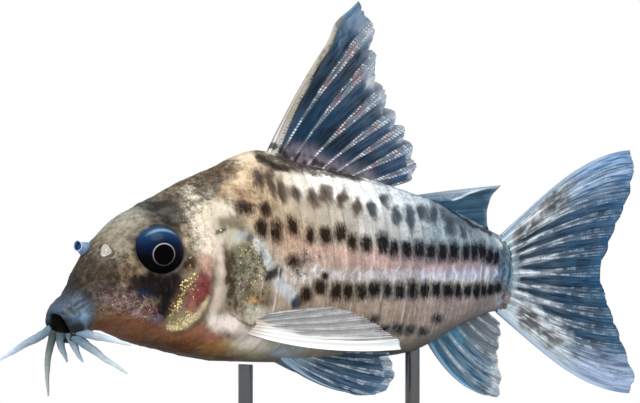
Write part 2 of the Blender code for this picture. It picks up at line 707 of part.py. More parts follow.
def build_fin(name, fin, sleeve, side=1):
    """A fin: soft rays as ridges of one thin skin. side is -1 for a mirrored copy."""
    tips = np.array(fin["tips"], float)
    rays, rows = len(tips), fin["rows"]
    columns = np.arange((rays - 1) * COLUMNS_PER_RAY + 1) / COLUMNS_PER_RAY
    arches = np.linspace(*fin["bow"], rays)
    flip = np.array([1, side, 1])
    root, tip, arch = (between(part * flip, columns) for part in (ray_roots(fin), tips, arches))
    off_ray = 2 * np.abs(columns - np.round(columns))
    along = np.linspace(0, 1, rows)[:, None]
    t = (along * (1 - fin["notch"] * off_ray))[..., None]
    middle = root + (tip - root) * t + arch * 4 * t * (1 - t)
    normal = np.cross(np.gradient(middle, axis=0), np.gradient(middle, axis=1))
    normal /= np.linalg.norm(normal, axis=-1, keepdims=True)
    half = FIN_SKIN + (FIN_EDGE - FIN_SKIN) * along**2
    half = half + (fin["root"] - FIN_SKIN) * np.clip(1 - 3 * along, 0, 1)
    half = half + (FIN_RAY - FIN_SKIN) * (off_ray == 0) * (1 - along)
    stiff = np.clip(1 - columns / SPINE_WIDTH, 0, 1)
    half = half + (fin["spine"] - FIN_RAY) * stiff * (1 - along**2)
    out = normal * half[..., None]
    points = np.concatenate([(middle + out).reshape(-1, 3), (middle - out).reshape(-1, 3)])
    return cut(make_object(name, bend(points), fin_faces(rows, len(columns)), "fin"), sleeve)


def fin_faces(rows, wide):
    """Triangles of two like faces of a sheet, then the rim between them."""
    other = rows * wide
    faces = []
    for i in range(rows - 1):
        for j in range(wide - 1):
            p, q = i * wide + j, (i + 1) * wide + j
            for corners in ((p, q, q + 1), (p, q + 1, p + 1)):
                faces.append(corners)
                faces.append(tuple(other + corner for corner in reversed(corners)))
    rim = list(range(wide))
    rim += [i * wide + wide - 1 for i in range(1, rows)]
    rim += [(rows - 1) * wide + j for j in range(wide - 2, -1, -1)]
    rim += [i * wide for i in range(rows - 2, 0, -1)]
    for p, q in zip(rim, rim[1:] + rim[:1]):
        faces.append((p, q, other + q))
        faces.append((p, other + q, other + p))
    return faces


def rounded_outline(length, width, corner, z):
    """A rectangle with round corners, level at z, centred on the stand."""
    points = []
    for quarter in range(4):
        turn = math.radians(90 * quarter) + np.linspace(0, math.pi / 2, 7)
        x = math.copysign(length / 2 - corner, math.cos(turn[3]))
        y = math.copysign(width / 2 - corner, math.sin(turn[3]))
        points += [(x + corner * math.cos(t), y + corner * math.sin(t), z) for t in turn]
    return points


def build_stand(sleeve):
    """A flat base with rounded corners and two thin rods that end at the belly."""
    length, width, thickness = BASE_SIZE
    inset = 2 * BASE_EDGE
    outlines = [
        rounded_outline(length, width, BASE_CORNER, 0),
        rounded_outline(length, width, BASE_CORNER, thickness - BASE_EDGE),
        rounded_outline(length - inset, width - inset, BASE_CORNER - BASE_EDGE, thickness),
    ]
    loft("stand_base", outlines, "stand_base")
    bottom = thickness + GAP
    for name, station in ROD_STATIONS.items():
        x, y, _ = bend((station, 0, 0))
        work = bmesh.new()
        bmesh.ops.create_cone(
            work, cap_ends=True, segments=BALL_POINTS, depth=(ROD_TOP - bottom) * MM,
            radius1=ROD_RADIUS * MM, radius2=ROD_RADIUS * MM,
            matrix=Matrix.Translation(Vector((x, y, (ROD_TOP + bottom) / 2)) * MM),
        )
        cut(from_bmesh(name, work, "stand_rod"), sleeve)


def build():
    sockets = [build_eye(side) for side in SIDES]
    chambers = [build_gill_cover(side) for side in SIDES]
    build_head(sockets + chambers)
    end = build_torso()
    loft("tail_stalk", bend(stalk_rings(end)), "armour")
    guard = build_mouth()
    for name in BARBELS:
        build_barbel(name, guard)
    sleeve = build_sleeve(end)
    for name, fin in FINS.items():
        build_fin(name, fin, sleeve)
    build_fin("pectoral_fin_left", FINS["pectoral_fin_right"], sleeve, -1)
    build_stand(sleeve)


for old in list(bpy.data.objects):
    bpy.data.objects.remove(old)
FISH = bpy.data.collections.new("corydoras")
HELPERS = bpy.data.collections.new("cutters")
bpy.context.scene.collection.children.link(FISH)
bpy.context.scene.collection.children.link(HELPERS)
build()
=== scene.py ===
import math
from functools import partial

import bpy
import numpy as np
from mathutils import Matrix, Vector


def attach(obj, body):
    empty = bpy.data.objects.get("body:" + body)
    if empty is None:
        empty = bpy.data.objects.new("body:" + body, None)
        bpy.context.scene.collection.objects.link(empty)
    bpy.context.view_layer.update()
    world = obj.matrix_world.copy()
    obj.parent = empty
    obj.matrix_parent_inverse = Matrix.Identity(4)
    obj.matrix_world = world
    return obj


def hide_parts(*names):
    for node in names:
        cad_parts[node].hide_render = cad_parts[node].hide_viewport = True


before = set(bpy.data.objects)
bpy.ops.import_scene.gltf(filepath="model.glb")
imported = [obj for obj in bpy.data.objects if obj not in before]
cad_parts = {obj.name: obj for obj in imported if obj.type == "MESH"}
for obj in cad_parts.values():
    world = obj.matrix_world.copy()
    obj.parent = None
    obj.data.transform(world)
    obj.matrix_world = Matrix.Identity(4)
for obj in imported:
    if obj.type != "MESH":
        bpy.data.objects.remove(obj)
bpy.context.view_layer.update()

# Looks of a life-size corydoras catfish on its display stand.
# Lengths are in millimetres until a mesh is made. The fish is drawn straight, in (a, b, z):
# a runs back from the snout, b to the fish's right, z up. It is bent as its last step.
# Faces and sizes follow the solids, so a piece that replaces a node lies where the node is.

millimetre = 0.001
sides = {"left": -1, "right": 1}

pose = {
    "headTurn": 14.0,  # degrees, towards the fish's left
    "tailTurn": 10.0,
    "headStiffTo": 12.0,
    "straightAt": 30.0,
    "tailStiffFrom": 54.0,
    "standCentre": 33.0,
}

# Ribs: (a, z) on the back, (a, z) on the belly, half width, widest level, fullness above and below.
body = {
    "throat": (
        (3.2, 15.0, 3.3, 14.7, 0.2, 0.50, 2.0, 2.0),
        (2.2, 15.6, 2.9, 14.2, 0.8, 0.50, 2.0, 2.0),
    ),
    "lips": (
        (1.6, 15.8, 2.3, 13.8, 1.2, 0.50, 2.0, 2.0),
        (0.8, 15.9, 1.8, 13.2, 1.7, 0.50, 2.0, 2.0),
        (0.2, 15.9, 1.6, 12.85, 2.05, 0.50, 2.0, 2.0),
        (-0.15, 16.1, 1.8, 12.65, 2.35, 0.49, 2.0, 2.0),
        (0.0, 16.6, 2.4, 12.65, 2.65, 0.48, 2.0, 2.0),
        (0.75, 17.3, 3.1, 12.95, 2.8, 0.48, 2.0, 2.0),
    ),
    "ribs": (
        (1.95, 18.5, 4.4, 13.9, 2.9, 0.46, 2.0, 2.0),
        (3.15, 20.7, 6.0, 14.0, 3.6, 0.46, 2.0, 2.1),
        (5.3, 23.75, 8.2, 13.3, 4.5, 0.46, 2.0, 2.2),
        (8.3, 26.3, 9.8, 12.7, 5.5, 0.45, 2.0, 2.3),
        (11.8, 28.1, 11.4, 12.3, 6.2, 0.43, 1.95, 2.4),
        (15.9, 30.0, 13.4, 11.9, 6.8, 0.41, 1.85, 2.5),
        (20.3, 31.9, 15.8, 11.3, 7.3, 0.39, 1.75, 2.6),
        (23.3, 33.2, 19.4, 10.7, 7.5, 0.38, 1.72, 2.65),
        (26.2, 33.5, 24.6, 10.4, 7.4, 0.38, 1.7, 2.7),
        (31.0, 32.0, 30.0, 10.4, 6.9, 0.38, 1.7, 2.6),
        (37.4, 30.6, 36.8, 10.7, 5.8, 0.40, 1.75, 2.4),
        (43.4, 28.8, 43.2, 11.55, 4.3, 0.44, 1.85, 2.2),
        (48.4, 26.7, 48.4, 14.3, 2.9, 0.47, 1.95, 2.1),
        (52.0, 24.7, 52.0, 15.8, 1.9, 0.49, 2.0, 2.0),
        (53.2, 24.2, 53.2, 15.6, 1.35, 0.50, 2.0, 2.0),
        (54.0, 23.8, 54.0, 16.2, 0.8, 0.50, 2.0, 2.0),
        (54.4, 22.8, 54.4, 17.6, 0.4, 0.50, 2.0, 2.0),
        (54.7, 21.8, 54.7, 18.6, 0.2, 0.50, 2.0, 2.0),
    ),
    "columns": 250,
    "lipRings": 60,
    "headRings": 118,
    "lastPlate": 53.0,
}

plates = {
    # Stations of the dark spots of the upper row. Each plate carries one.
    "centres": (23.5, 25.3, 27.7, 29.5, 31.4, 33.1, 34.8, 36.5, 38.4, 40.0, 41.6, 43.0, 44.5, 45.9,
                47.2, 48.5, 49.6, 50.6, 51.6, 52.5),
    "steps": (0.0, 0.14, 0.3, 0.46, 0.6, 0.74, 0.85, 0.93, 0.975, 1.0),
    "rise": 0.065,
    "lap": 0.1,
    "sweep": 1.5,  # how far an edge runs forward from the middle of the side to the back or belly
    "seam": 11.0,  # degrees above the widest level
    "seamHalf": 3.0,
    "seamDepth": 0.06,
    "bellyEdge": -62.0,
    "bellyFade": 14.0,
    "settling": 19.5,  # front plates grow out of the smooth nape from here on
}

camera = {
    "azimuth": -18.0,
    "distance": 900.0,
    "frameWidth": 70.4,
    "aim": (-0.36, 28.0),  # across the picture and up
    "sensor": 36.0,
}


def smooth(share):
    share = np.clip(share, 0.0, 1.0)
    return share * share * (3 - 2 * share)


def hexColour(code):  # sRGB hex to linear
    levels = [int(code[k : k + 2], 16) / 255 for k in (1, 3, 5)]
    return np.array([c / 12.92 if c <= 0.04045 else ((c + 0.055) / 1.055) ** 2.4 for c in levels])


def ripple(points, size, seed):  # soft noise, mostly from -1 to 1, with lumps of this size
    draw = np.random.default_rng(seed)
    total = np.zeros(points.shape[:-1])
    for _ in range(10):
        way = draw.normal(size=3)
        way *= 2 * math.pi * draw.uniform(0.5, 1.6) / (size * np.linalg.norm(way))
        total += np.sin(points @ way + draw.uniform(0, 2 * math.pi))
    return total / 3.2


# ---- the bent back ----
def heading(a):
    stiff, straight = pose["headStiffTo"], pose["straightAt"]
    head = pose["headTurn"] * (1 - smooth((a - stiff) / (straight - stiff)))
    tail = pose["tailTurn"] * smooth((a - straight) / (pose["tailStiffFrom"] - straight))
    return np.radians(head - tail)


def bendTable():
    stations = np.linspace(-20.0, 90.0, 2201)
    step = stations[1] - stations[0]
    turn = heading(stations)
    x, y = np.cumsum(np.cos(turn)) * step, np.cumsum(np.sin(turn)) * step
    x -= np.interp(pose["standCentre"], stations, x)
    y -= np.interp(pose["standCentre"], stations, y)
    return stations, x, y


backStations, backX, backY = bendTable()


def bend(points):
    points = np.asarray(points, float)
    a, b, z = points[..., 0], points[..., 1], points[..., 2]
    turn = heading(a)
    x = np.interp(a, backStations, backX) - b * np.sin(turn)
    y = np.interp(a, backStations, backY) + b * np.cos(turn)
    return np.stack([x, y, z], axis=-1)


def between(rows, at):  # a smooth curve through rows, read at a place counted in rows
    rows = np.asarray(rows, float)
    rows = np.vstack([2 * rows[0] - rows[1], rows, 2 * rows[-1] - rows[-2]])
    at = np.asarray(at, float)
    first = np.clip(np.floor(at).astype(int), 0, len(rows) - 4)
    t = (at - first)[..., None]
    p0, p1, p2, p3 = (rows[first + k] for k in range(4))
    return p1 + 0.5 * t * (
        p2 - p0 + t * (2 * p0 - 5 * p1 + 4 * p2 - p3 + t * (3 * (p1 - p2) + p3 - p0))
    )


def section(row, angle):
    back, belly = row[..., 0:2], row[..., 2:4]
    widest = belly + row[..., 5:6] * (back - belly)
    sine, cosine = np.sin(angle), np.cos(angle)
    power = 2 / np.where(sine >= 0, row[..., 6], row[..., 7])
    side = row[..., 4] * np.sign(cosine) * np.abs(cosine) ** power
    height = (np.abs(sine) ** power)[..., None]
    middle = widest + (np.where((sine >= 0)[..., None], back, belly) - widest) * height
    return np.stack([middle[..., 0], side, middle[..., 1]], axis=-1)


bodyRows = body["throat"] + body["lips"] + body["ribs"]
firstRib = len(body["throat"]) + len(body["lips"])
lastRow = len(bodyRows) - 1
finePlaces = np.linspace(firstRib, lastRow, 500)
fineRows = between(bodyRows, finePlaces)
fineStations = fineRows[:, [0, 2]].mean(axis=1)


def placeAt(station):  # the row, counted from the throat, whose middle is at this station
    return np.interp(station, fineStations, finePlaces)


def bareSkin(place, angle):
    place, angle = np.broadcast_arrays(np.asarray(place, float), np.asarray(angle, float))
    return section(between(bodyRows, place), angle)


def skinAt(place, angle):  # the surface and its outward normal
    step = 0.01
    along = bareSkin(place + step, angle) - bareSkin(place - step, angle)
    around = bareSkin(place, angle + step) - bareSkin(place, angle - step)
    normal = np.cross(around, along)
    normal /= np.linalg.norm(normal, axis=-1, keepdims=True)
    return bareSkin(place, angle), normal


def onSide(a, z, side):  # the place and angle that a side view shows at (a, z)
    places, angles = np.meshgrid(
        np.linspace(firstRib, lastRow - 3, 561), np.radians(np.linspace(-85, 85, 341)), indexing="ij"
    )
    points = bareSkin(places, angles)
    off = (points[..., 0] - a) ** 2 + (points[..., 2] - z) ** 2
    nearest = np.unravel_index(off.argmin(), off.shape)
    angle = angles[nearest]
    return places[nearest], angle if side == "right" else math.pi - angle


# ---- meshes ----
def gridFaces(rows, columns, closed):  # quads, and the grid place of each corner
    i, j = np.meshgrid(np.arange(rows - 1), np.arange(columns if closed else columns - 1), indexing="ij")
    k = (j + 1) % columns
    quads = np.stack([i * columns + j, i * columns + k, (i + 1) * columns + k, (i + 1) * columns + j], -1)
    corners = np.stack([np.stack(pair, -1) for pair in ((j, i), (j + 1, i), (j + 1, i + 1), (j, i + 1))], -2)
    return quads.reshape(-1, 4), corners.reshape(-1, 4, 2).astype(float)


def outwards(points, faces):
    volume = 0.0
    for face in faces:
        p, q, r = points[face[:, 0]], points[face[:, 1]], points[face[:, 2]]
        volume += np.einsum("ij,ij->i", p, np.cross(q, r)).sum()
        if face.shape[1] == 4:
            s = points[face[:, 3]]
            volume += np.einsum("ij,ij->i", p, np.cross(r, s)).sum()
    return volume > 0


def meshPiece(name, points, faces, uvs, material, values=None, colours=None):
    # faces and uvs are lists of arrays, each for faces with as many corners as its width
    if not outwards(points, faces):
        faces, uvs = [face[:, ::-1] for face in faces], [uv[:, ::-1] for uv in uvs]
    mesh = bpy.data.meshes.new(name)
    mesh.from_pydata((points * millimetre).tolist(), [], [f for face in faces for f in face.tolist()])
    layer = mesh.uv_layers.new(name="OFBake")
    layer.data.foreach_set("uv", np.concatenate([uv.reshape(-1, 2) for uv in uvs]).astype(np.float32).ravel())
    for key, value in (values or {}).items():
        made = mesh.attributes.new(key, "FLOAT", "POINT")
        made.data.foreach_set("value", np.asarray(value, np.float32).ravel())
    for key, colour in (colours or {}).items():
        colour = toned(colour)
        made = mesh.attributes.new(key, "FLOAT_COLOR", "POINT")
        made.data.foreach_set("color", np.column_stack([colour, np.ones(len(colour))]).astype(np.float32).ravel())
    mesh.shade_smooth()
    mesh.materials.append(material)
    mesh.validate()
    piece = bpy.data.objects.new(name, mesh)
    bpy.context.scene.collection.objects.link(piece)
    return piece


def place(piece, slot=None, *nodes):
    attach(piece, "root")
    if nodes:
        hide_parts(*nodes)
    return piece


# ---- materials ----
def newMaterial(name):
    material = bpy.data.materials.new(name)
    material.use_nodes = True
    tree = material.node_tree
    return material, partial(addNode, tree), tree.nodes["Principled BSDF"]


def fill(node, inputs):  # gives each socket its value, or links another node's output to it
    for key, value in inputs.items():
        if isinstance(value, bpy.types.NodeSocket):
            node.id_data.links.new(value, node.inputs[key])
        else:
            node.inputs[key].default_value = value


nodeModes = {"Math": "operation", "MapRange": "interpolation_type", "Mix": "blend_type"}


def addNode(tree, kind, *values, **settings):
    # Adds a node. kind is Blender's name for it, then its mode if it has one. The values fill its
    # sockets in order, or are one dictionary of them by name. Its first output in use comes back.
    kind, _, mode = kind.partition(" ")
    made = tree.nodes.new("ShaderNode" + kind)
    if kind == "Mix":
        made.data_type = "RGBA"
    if mode:
        settings[nodeModes[kind]] = mode
    for key, value in settings.items():
        setattr(made, key, value)
    inUse = [number for number, socket in enumerate(made.inputs) if socket.enabled]
    fill(made, values[0] if values and isinstance(values[0], dict) else dict(zip(inUse, values)))
    return next(socket for socket in made.outputs if socket.enabled)


def perMillimetre(size):  # a texture scale that gives lumps of this size in millimetres
    return 1 / (size * millimetre)


def rgba(code):
    return (*hexColour(code), 1)


def catfishSkin():
    # Wet scaleless skin over bony plates: mottled pigment cells, a clear slime coat that gives
    # small sharp highlights, and a slightly waxy depth from the flesh below.
    material, add, shader = newMaterial("catfish_skin")
    look = {
        "pigment": "#1c0d05", "pigmentRear": "#04070c", "pepper": "#231c15", "glint": "#fbe7a6", "grooveShade": "#4a3d35", "edge": "#f1f2ee",
        "squiggle": "#dcc0a6", "margin": "#5b4634", "marginRear": "#3b4651", "marble": 0.6, "worm": 0.5,
        "grain": 0.2, "fleck": 0.2, "clump": 0.7, "mottle": 1.7, "streak": 0.24, "pillar": 0.9, "glintSize": 0.24,
    }
    read = {
        key: add("Attribute", attribute_name=key).node.outputs[2]
        for key in ("spots", "pepper", "glints", "seamHighlightAndShade", "station", "streaks", "marbled", "worms")
    }
    paint = add("Attribute", attribute_name="paint")
    spot3d = add("TexCoord").node.outputs["Object"]

    def noise(size, detail=2.0, vector=spot3d, roughness=0.5):
        return add("TexNoise", {"Vector": vector, "Scale": perMillimetre(size), "Detail": detail,
                                "Roughness": roughness})

    # Colour varies in soft lumps and in fine upright streaks, which are growth lines in the plates.
    lumps = noise(look["mottle"], 3.0)
    shade = add("Math MULTIPLY_ADD", lumps, 0.5, 0.75)
    colour = add("Mix MULTIPLY", 1.0, paint, shade)
    fine = noise(look["fleck"], 3.0, roughness=0.7)
    grainy = add("Math MULTIPLY_ADD", read["pepper"], 1.6, 0.5)
    grainy = add("Math MULTIPLY_ADD", add("Math SUBTRACT", fine, 0.5), grainy, 1.0)
    colour = add("Mix MULTIPLY", 1.0, colour, grainy)
    parts = add("SeparateXYZ", {0: spot3d})
    along = add("Math MULTIPLY", read["station"], millimetre)
    upright = add("CombineXYZ", {0: along, 2: add("Math MULTIPLY", parts.node.outputs[2], 0.12)})
    lines = noise(look["streak"], 3.0, upright, 0.65)
    lineShade = add("Math MULTIPLY_ADD", add("Math SUBTRACT", lines, 0.5), read["streaks"], 1.0)
    colour = add("Mix MULTIPLY", 1.0, colour, lineShade)
    wide = noise(look["pillar"], 2.0, upright, 0.5)
    wideShade = add("Math MULTIPLY", add("Math SUBTRACT", add("MapRange SMOOTHSTEP", wide, 0.35, 0.65), 0.5), 0.34)
    colour = add("Mix MULTIPLY", 1.0, colour, add("Math MULTIPLY_ADD", wideShade, read["streaks"], 1.0))
    # Marbling: pigment gathers in dark and pale clouds. Thin pale squiggles run over the cheek.
    clouds = add("MapRange SMOOTHSTEP", noise(look["marble"], 4.0, roughness=0.72), 0.34, 0.64)
    clouds = add("Math MULTIPLY", add("Math SUBTRACT", clouds, 0.48), 1.25)
    clouds = add("Math MULTIPLY_ADD", clouds, read["marbled"], 1.0)
    colour = add("Mix MULTIPLY", 1.0, colour, clouds)
    ridge = add("Math ABSOLUTE", add("Math SUBTRACT", noise(look["worm"], 1.0), 0.5))
    ridge = add("Math SUBTRACT", 1.0, add("MapRange SMOOTHSTEP", ridge, 0.004, 0.04))
    ridge = add("Math MULTIPLY", add("Math MULTIPLY", ridge, read["worms"]), add("MapRange SMOOTHSTEP", fine, 0.4, 0.6))
    colour = add("Mix MIX", ridge, colour, rgba(look["squiggle"]))
    # Plate edges: a pale rim, partly the plates' own pale edge and partly painted highlight, then a dark groove of
    # painted shade, both broken up.
    broken = add("MapRange SMOOTHSTEP", noise(1.1, 2.0), 0.4, 0.62)
    rim = add("Math MULTIPLY", add("MapRange SMOOTHSTEP", read["seamHighlightAndShade"], 0.1, 1.0), broken)
    colour = add("Mix MIX", add("Math MULTIPLY", rim, 0.34), colour, rgba(look["edge"]))
    grooveShade = add("MapRange SMOOTHSTEP", add("Math MULTIPLY", read["seamHighlightAndShade"], -1.0), 0.1, 1.0)
    grooveShade = add("Math MULTIPLY", grooveShade, add("MapRange SMOOTHSTEP", lumps, 0.42, 0.6))
    colour = add("Mix MIX", add("Math MULTIPLY", grooveShade, 0.16), colour, rgba(look["grooveShade"]))
    # Pepper: clumps of single pigment cells.
    clumps = add("Math MULTIPLY_ADD", noise(look["clump"], 3.0, roughness=0.65), 0.6, add("Math MULTIPLY", fine, 0.6))
    pepper = add("MapRange SMOOTHSTEP", add("Math MULTIPLY_ADD", read["pepper"], 0.4, clumps), 0.68, 0.92)
    colour = add("Mix MIX", add("Math MULTIPLY", pepper, 0.85), colour, rgba(look["pepper"]))
    # Spots: solid pigment with grainy edges.
    squashed = add("Mapping", {"Vector": spot3d, "Scale": (1, 1, 0.45)})
    grain = add("Math SUBTRACT", noise(look["grain"], 3.0, squashed, 0.7), 0.5)
    grain = add("Math MULTIPLY_ADD", grain, 1.0, read["spots"])
    grain = add("Math MULTIPLY_ADD", add("Math SUBTRACT", lines, 0.5), 1.1, grain)
    rearward = add("MapRange SMOOTHSTEP", read["station"], 32.0, 42.0)
    margin = add("Mix MIX", rearward, rgba(look["margin"]), rgba(look["marginRear"]))
    colour = add("Mix MIX", add("Math MULTIPLY", add("MapRange SMOOTHSTEP", grain, 0.02, 0.5), 0.62), colour, margin)
    spot = add("MapRange SMOOTHSTEP", grain, 0.34, 0.92)
    pigment = add("Mix MIX", rearward, rgba(look["pigment"]), rgba(look["pigmentRear"]))
    solid = add("Math MULTIPLY", spot, add("Math MULTIPLY_ADD", add("MapRange SMOOTHSTEP", fine, 0.35, 0.6), -0.03, 1.0))
    colour = add("Mix MIX", solid, colour, pigment)
    # Glints: guanine crystals, painted as pale gold specks in the base colour: partly the crystals' own colour, partly
    # painted glints.
    cells = add("TexVoronoi", {"Vector": spot3d, "Scale": perMillimetre(look["glintSize"])})
    chosen = add("SeparateColor", {0: cells.node.outputs["Color"]})
    chosen = add("Math GREATER_THAN", add("Math ADD", chosen, read["glints"]), 1.0)
    near = add("Math ADD", cells.node.outputs["Distance"], add("Math MULTIPLY", fine, 0.5))
    near = add("Math MULTIPLY_ADD", read["glints"], -0.4, near)  # crowded crystals grow together
    near = add("Math SUBTRACT", 1.0, add("MapRange SMOOTHSTEP", near, 0.28, 0.58))
    glint = add("Math MULTIPLY", add("Math MULTIPLY", chosen, near), add("MapRange SMOOTHSTEP", lumps, 0.3, 0.6))
    glint = add("Math MULTIPLY", glint, add("Math SUBTRACT", 1.0, spot))
    colour = add("Mix MIX", add("Math MULTIPLY", glint, 0.85), colour, rgba(look["glint"]))
    fill(shader, {
        "Base Color": colour,
    })
    rough = add("Math MULTIPLY_ADD", lumps, 0.2, 0.32)
    fill(shader, {
        "Roughness": rough,
        "IOR": 1.38,
        "Specular IOR Level": 0.36,
        "Coat Weight": 0.14,
        "Coat Roughness": 0.16,
        "Subsurface Weight": 0.06,
        "Subsurface Radius": (1.0, 0.5, 0.35),
        "Subsurface Scale": 0.5 * millimetre,
    })
    bump = add("Bump", {"Strength": 0.3, "Distance": 0.05 * millimetre, "Height": fine})
    fill(shader, {
        "Normal": bump,
    })
    return material


def finMembrane():
    # Thin wet skin stretched over jointed bony rays: dark iridescent membrane that lets some light
    # through, and pale rays whose joints show as rows of dots.
    material, add, shader = newMaterial("fin_membrane")
    jointLength = 0.36  # millimetres between the joints of a soft ray
    paint = add("Attribute", attribute_name="paint")
    rayPaint = add("Attribute", attribute_name="rayPaint")
    read = {
        key: add("Attribute", attribute_name=key).node.outputs[2]
        for key in ("spine", "along", "clear", "joints", "lane", "gap", "fork", "twig", "rayHalf", "band", "bandHalf",
                    "streak", "bright", "barred")
    }
    spot3d = add("TexCoord").node.outputs["Object"]
    noise = add("TexNoise", {"Vector": spot3d, "Scale": perMillimetre(0.8), "Detail": 3.0})
    fine = add("TexNoise", {"Vector": spot3d, "Scale": perMillimetre(0.22), "Detail": 2.0})
    # Fine streaks that run with the rays.
    flow = add("CombineXYZ", {0: add("Math MULTIPLY", read["lane"], 9.0),
                                                  1: add("Math MULTIPLY", read["along"], 0.35)})
    streaks = add("TexNoise", {"Vector": flow, "Scale": 1.0, "Detail": 3.0,
                                                   "Roughness": 0.6})
    streaks = add("MapRange SMOOTHSTEP", streaks, 0.36, 0.66)
    # Distance in millimetres from the nearest ray, or from its branches and twigs.
    lane = add("Math MULTIPLY_ADD", add("Math SUBTRACT", noise, 0.5), 0.07, read["lane"])
    aside = add("Math ABSOLUTE", add("Math SUBTRACT", add("Math FRACT", add("Math ADD", lane, 0.5)), 0.5))
    branch = add("Math ABSOLUTE", add("Math SUBTRACT", aside, read["fork"]))
    twig = add("Math ABSOLUTE", add("Math SUBTRACT", branch, read["twig"]))
    off = add("Math DIVIDE", add("Math MULTIPLY", twig, read["gap"]), read["rayHalf"])
    line = add("Math SUBTRACT", 1.0, add("MapRange SMOOTHSTEP", off, 0.45, 1.25))
    # The soft band round each ray, between its branches and a little beyond.
    reach = add("Math DIVIDE", aside, read["bandHalf"])
    reach = add("Math MULTIPLY_ADD", streaks, 0.5, reach)
    band = add("Math SUBTRACT", 1.0, add("MapRange SMOOTHSTEP", reach, 0.75, 1.5))
    band = add("Math MULTIPLY", add("Math MULTIPLY", band, read["band"]), add("Math MULTIPLY_ADD", streaks, 0.7, 0.3))
    turn = add("Math MULTIPLY_ADD", read["along"], 2 * math.pi / jointLength, add("Math MULTIPLY", noise, 9.0))
    dots = add("MapRange SMOOTHSTEP", add("Math SINE", turn), -0.4, 0.6)
    jointed = add("Math SUBTRACT", 1.0, add("Math MULTIPLY", read["joints"], add("Math SUBTRACT", 1.0, dots)))
    shade = add("Math MULTIPLY_ADD", noise, 0.6, 0.7)
    membrane = add("Mix MULTIPLY", 1.0, paint, shade)
    membrane = add("Mix MULTIPLY", 1.0, membrane, add("Math MULTIPLY_ADD", fine, 0.5, 0.75))
    membrane = add("Mix MIX", add("Math MULTIPLY", streaks, read["streak"]), membrane, rayPaint)
    membrane = add("Mix MIX", band, membrane, rayPaint)
    uneven = add("Math MULTIPLY", read["bright"], add("Math MULTIPLY_ADD", add("MapRange SMOOTHSTEP", noise, 0.42, 0.62), 0.92, 0.1))
    ray = add("Math MULTIPLY", add("Math MULTIPLY", line, jointed), uneven)
    lit = add("Mix MIX", read["bright"], rayPaint, (0.93, 0.97, 1.0, 1))
    colour = add("Mix MIX", ray, membrane, lit)
    bars = add("Math MULTIPLY", add("Math SUBTRACT", 1.0, dots), read["barred"])
    bars = add("Math MULTIPLY", bars, add("MapRange SMOOTHSTEP", fine, 0.4, 0.62))
    bars = add("Math SUBTRACT", 1.0, bars)
    spinePaint = add("Mix MULTIPLY", 1.0, add("Attribute", attribute_name="spinePaint"), bars)
    colour = add("Mix MIX", read["spine"], colour, spinePaint)
    fill(shader, {
        "Base Color": colour,
        "Roughness": 0.35,
        "IOR": 1.38,
        "Coat Weight": 0.2,
        "Coat Roughness": 0.15,
    })
    bump = add("Bump", {"Strength": 0.35, "Distance": 0.05 * millimetre,
                                            "Height": add("Math ADD", fine, line)})
    fill(shader, {
        "Normal": bump,
    })
    glow = add("BsdfTranslucent", {0: colour})
    solid = add("MixShader", {0: 0.2, 1: shader.outputs[0], 2: glow})
    empty = add("BsdfTransparent")
    bony = add("Math MAXIMUM", add("Math MULTIPLY", line, 0.7), read["spine"])
    seen = add("Math MULTIPLY", read["clear"], add("Math SUBTRACT", 1.0, bony))
    seen = add("Math MULTIPLY", seen, add("Math MULTIPLY_ADD", streaks, -0.8, 1.3))
    gone = add("Math MULTIPLY_ADD", read["clear"], 3.4, -2.4)  # past 0.7 the rays fade out as well
    seen = add("Math MAXIMUM", seen, add("Math MULTIPLY", gone, add("Math SUBTRACT", 1.0, read["spine"])))
    final = add("MixShader", {0: seen, 1: solid, 2: empty})
    fill(material.node_tree.nodes["Material Output"], {0: final})
    return material


def eyeGlaze():
    # A wet cornea over a blue-black iris with a thin pale ring round a black pupil.
    material, add, shader = newMaterial("wet_eye")
    paint = add("Attribute", attribute_name="paint")
    place = add("TexCoord").node.outputs["Object"]
    noise = add("TexNoise", {"Vector": place, "Scale": perMillimetre(0.4), "Detail": 3.0})
    shade = add("Math MULTIPLY_ADD", noise, 0.5, 0.75)
    colour = add("Mix MULTIPLY", 1.0, paint, shade)
    fill(shader, {
        "Base Color": colour,
        "Roughness": 0.5,
        "IOR": 1.38,
        "Specular IOR Level": 0.05,
        "Coat Weight": 0.2,
        "Coat Roughness": 0.08,
        "Coat IOR": 1.38,
    })
    return material


def barbelFlesh():
    # Soft translucent feeler skin: blue-grey, paler towards the tip, wet.
    material, add, shader = newMaterial("barbel_flesh")
    paint = add("Attribute", attribute_name="paint")
    place = add("TexCoord").node.outputs["Object"]
    noise = add("TexNoise", {"Vector": place, "Scale": perMillimetre(0.5), "Detail": 3.0})
    shade = add("Math MULTIPLY_ADD", noise, 0.5, 0.75)
    colour = add("Mix MULTIPLY", 1.0, paint, shade)
    fill(shader, {
        "Base Color": colour,
        "Roughness": 0.35,
        "IOR": 1.4,
        "Coat Weight": 0.3,
        "Coat Roughness": 0.15,
        "Subsurface Weight": 0.2,
        "Subsurface Scale": 0.4 * millimetre,
    })
    bump = add("Bump", {"Strength": 0.3, "Distance": 0.04 * millimetre, "Height": noise})
    fill(shader, {
        "Normal": bump,
    })
    return material


def satinAcrylic():
    # Cast acrylic with a sanded, satin face: black, with a faint haze and very fine scratches.
    material, add, shader = newMaterial("satin_acrylic")
    place = add("TexCoord").node.outputs["Object"]
    noise = add("TexNoise", {"Vector": place, "Scale": perMillimetre(6.0), "Detail": 4.0})
    fine = add("TexNoise", {"Vector": place, "Scale": perMillimetre(0.15), "Detail": 2.0})
    colour = add("Mix MIX", noise, rgba("#1c1d1f"), rgba("#26272a"))
    fill(shader, {
        "Base Color": colour,
        "Roughness": add("Math MULTIPLY_ADD", noise, 0.14, 0.3),
        "IOR": 1.49,
    })
    bump = add("Bump", {"Strength": 0.12, "Distance": 0.02 * millimetre, "Height": fine})
    fill(shader, {
        "Normal": bump,
    })
    return material


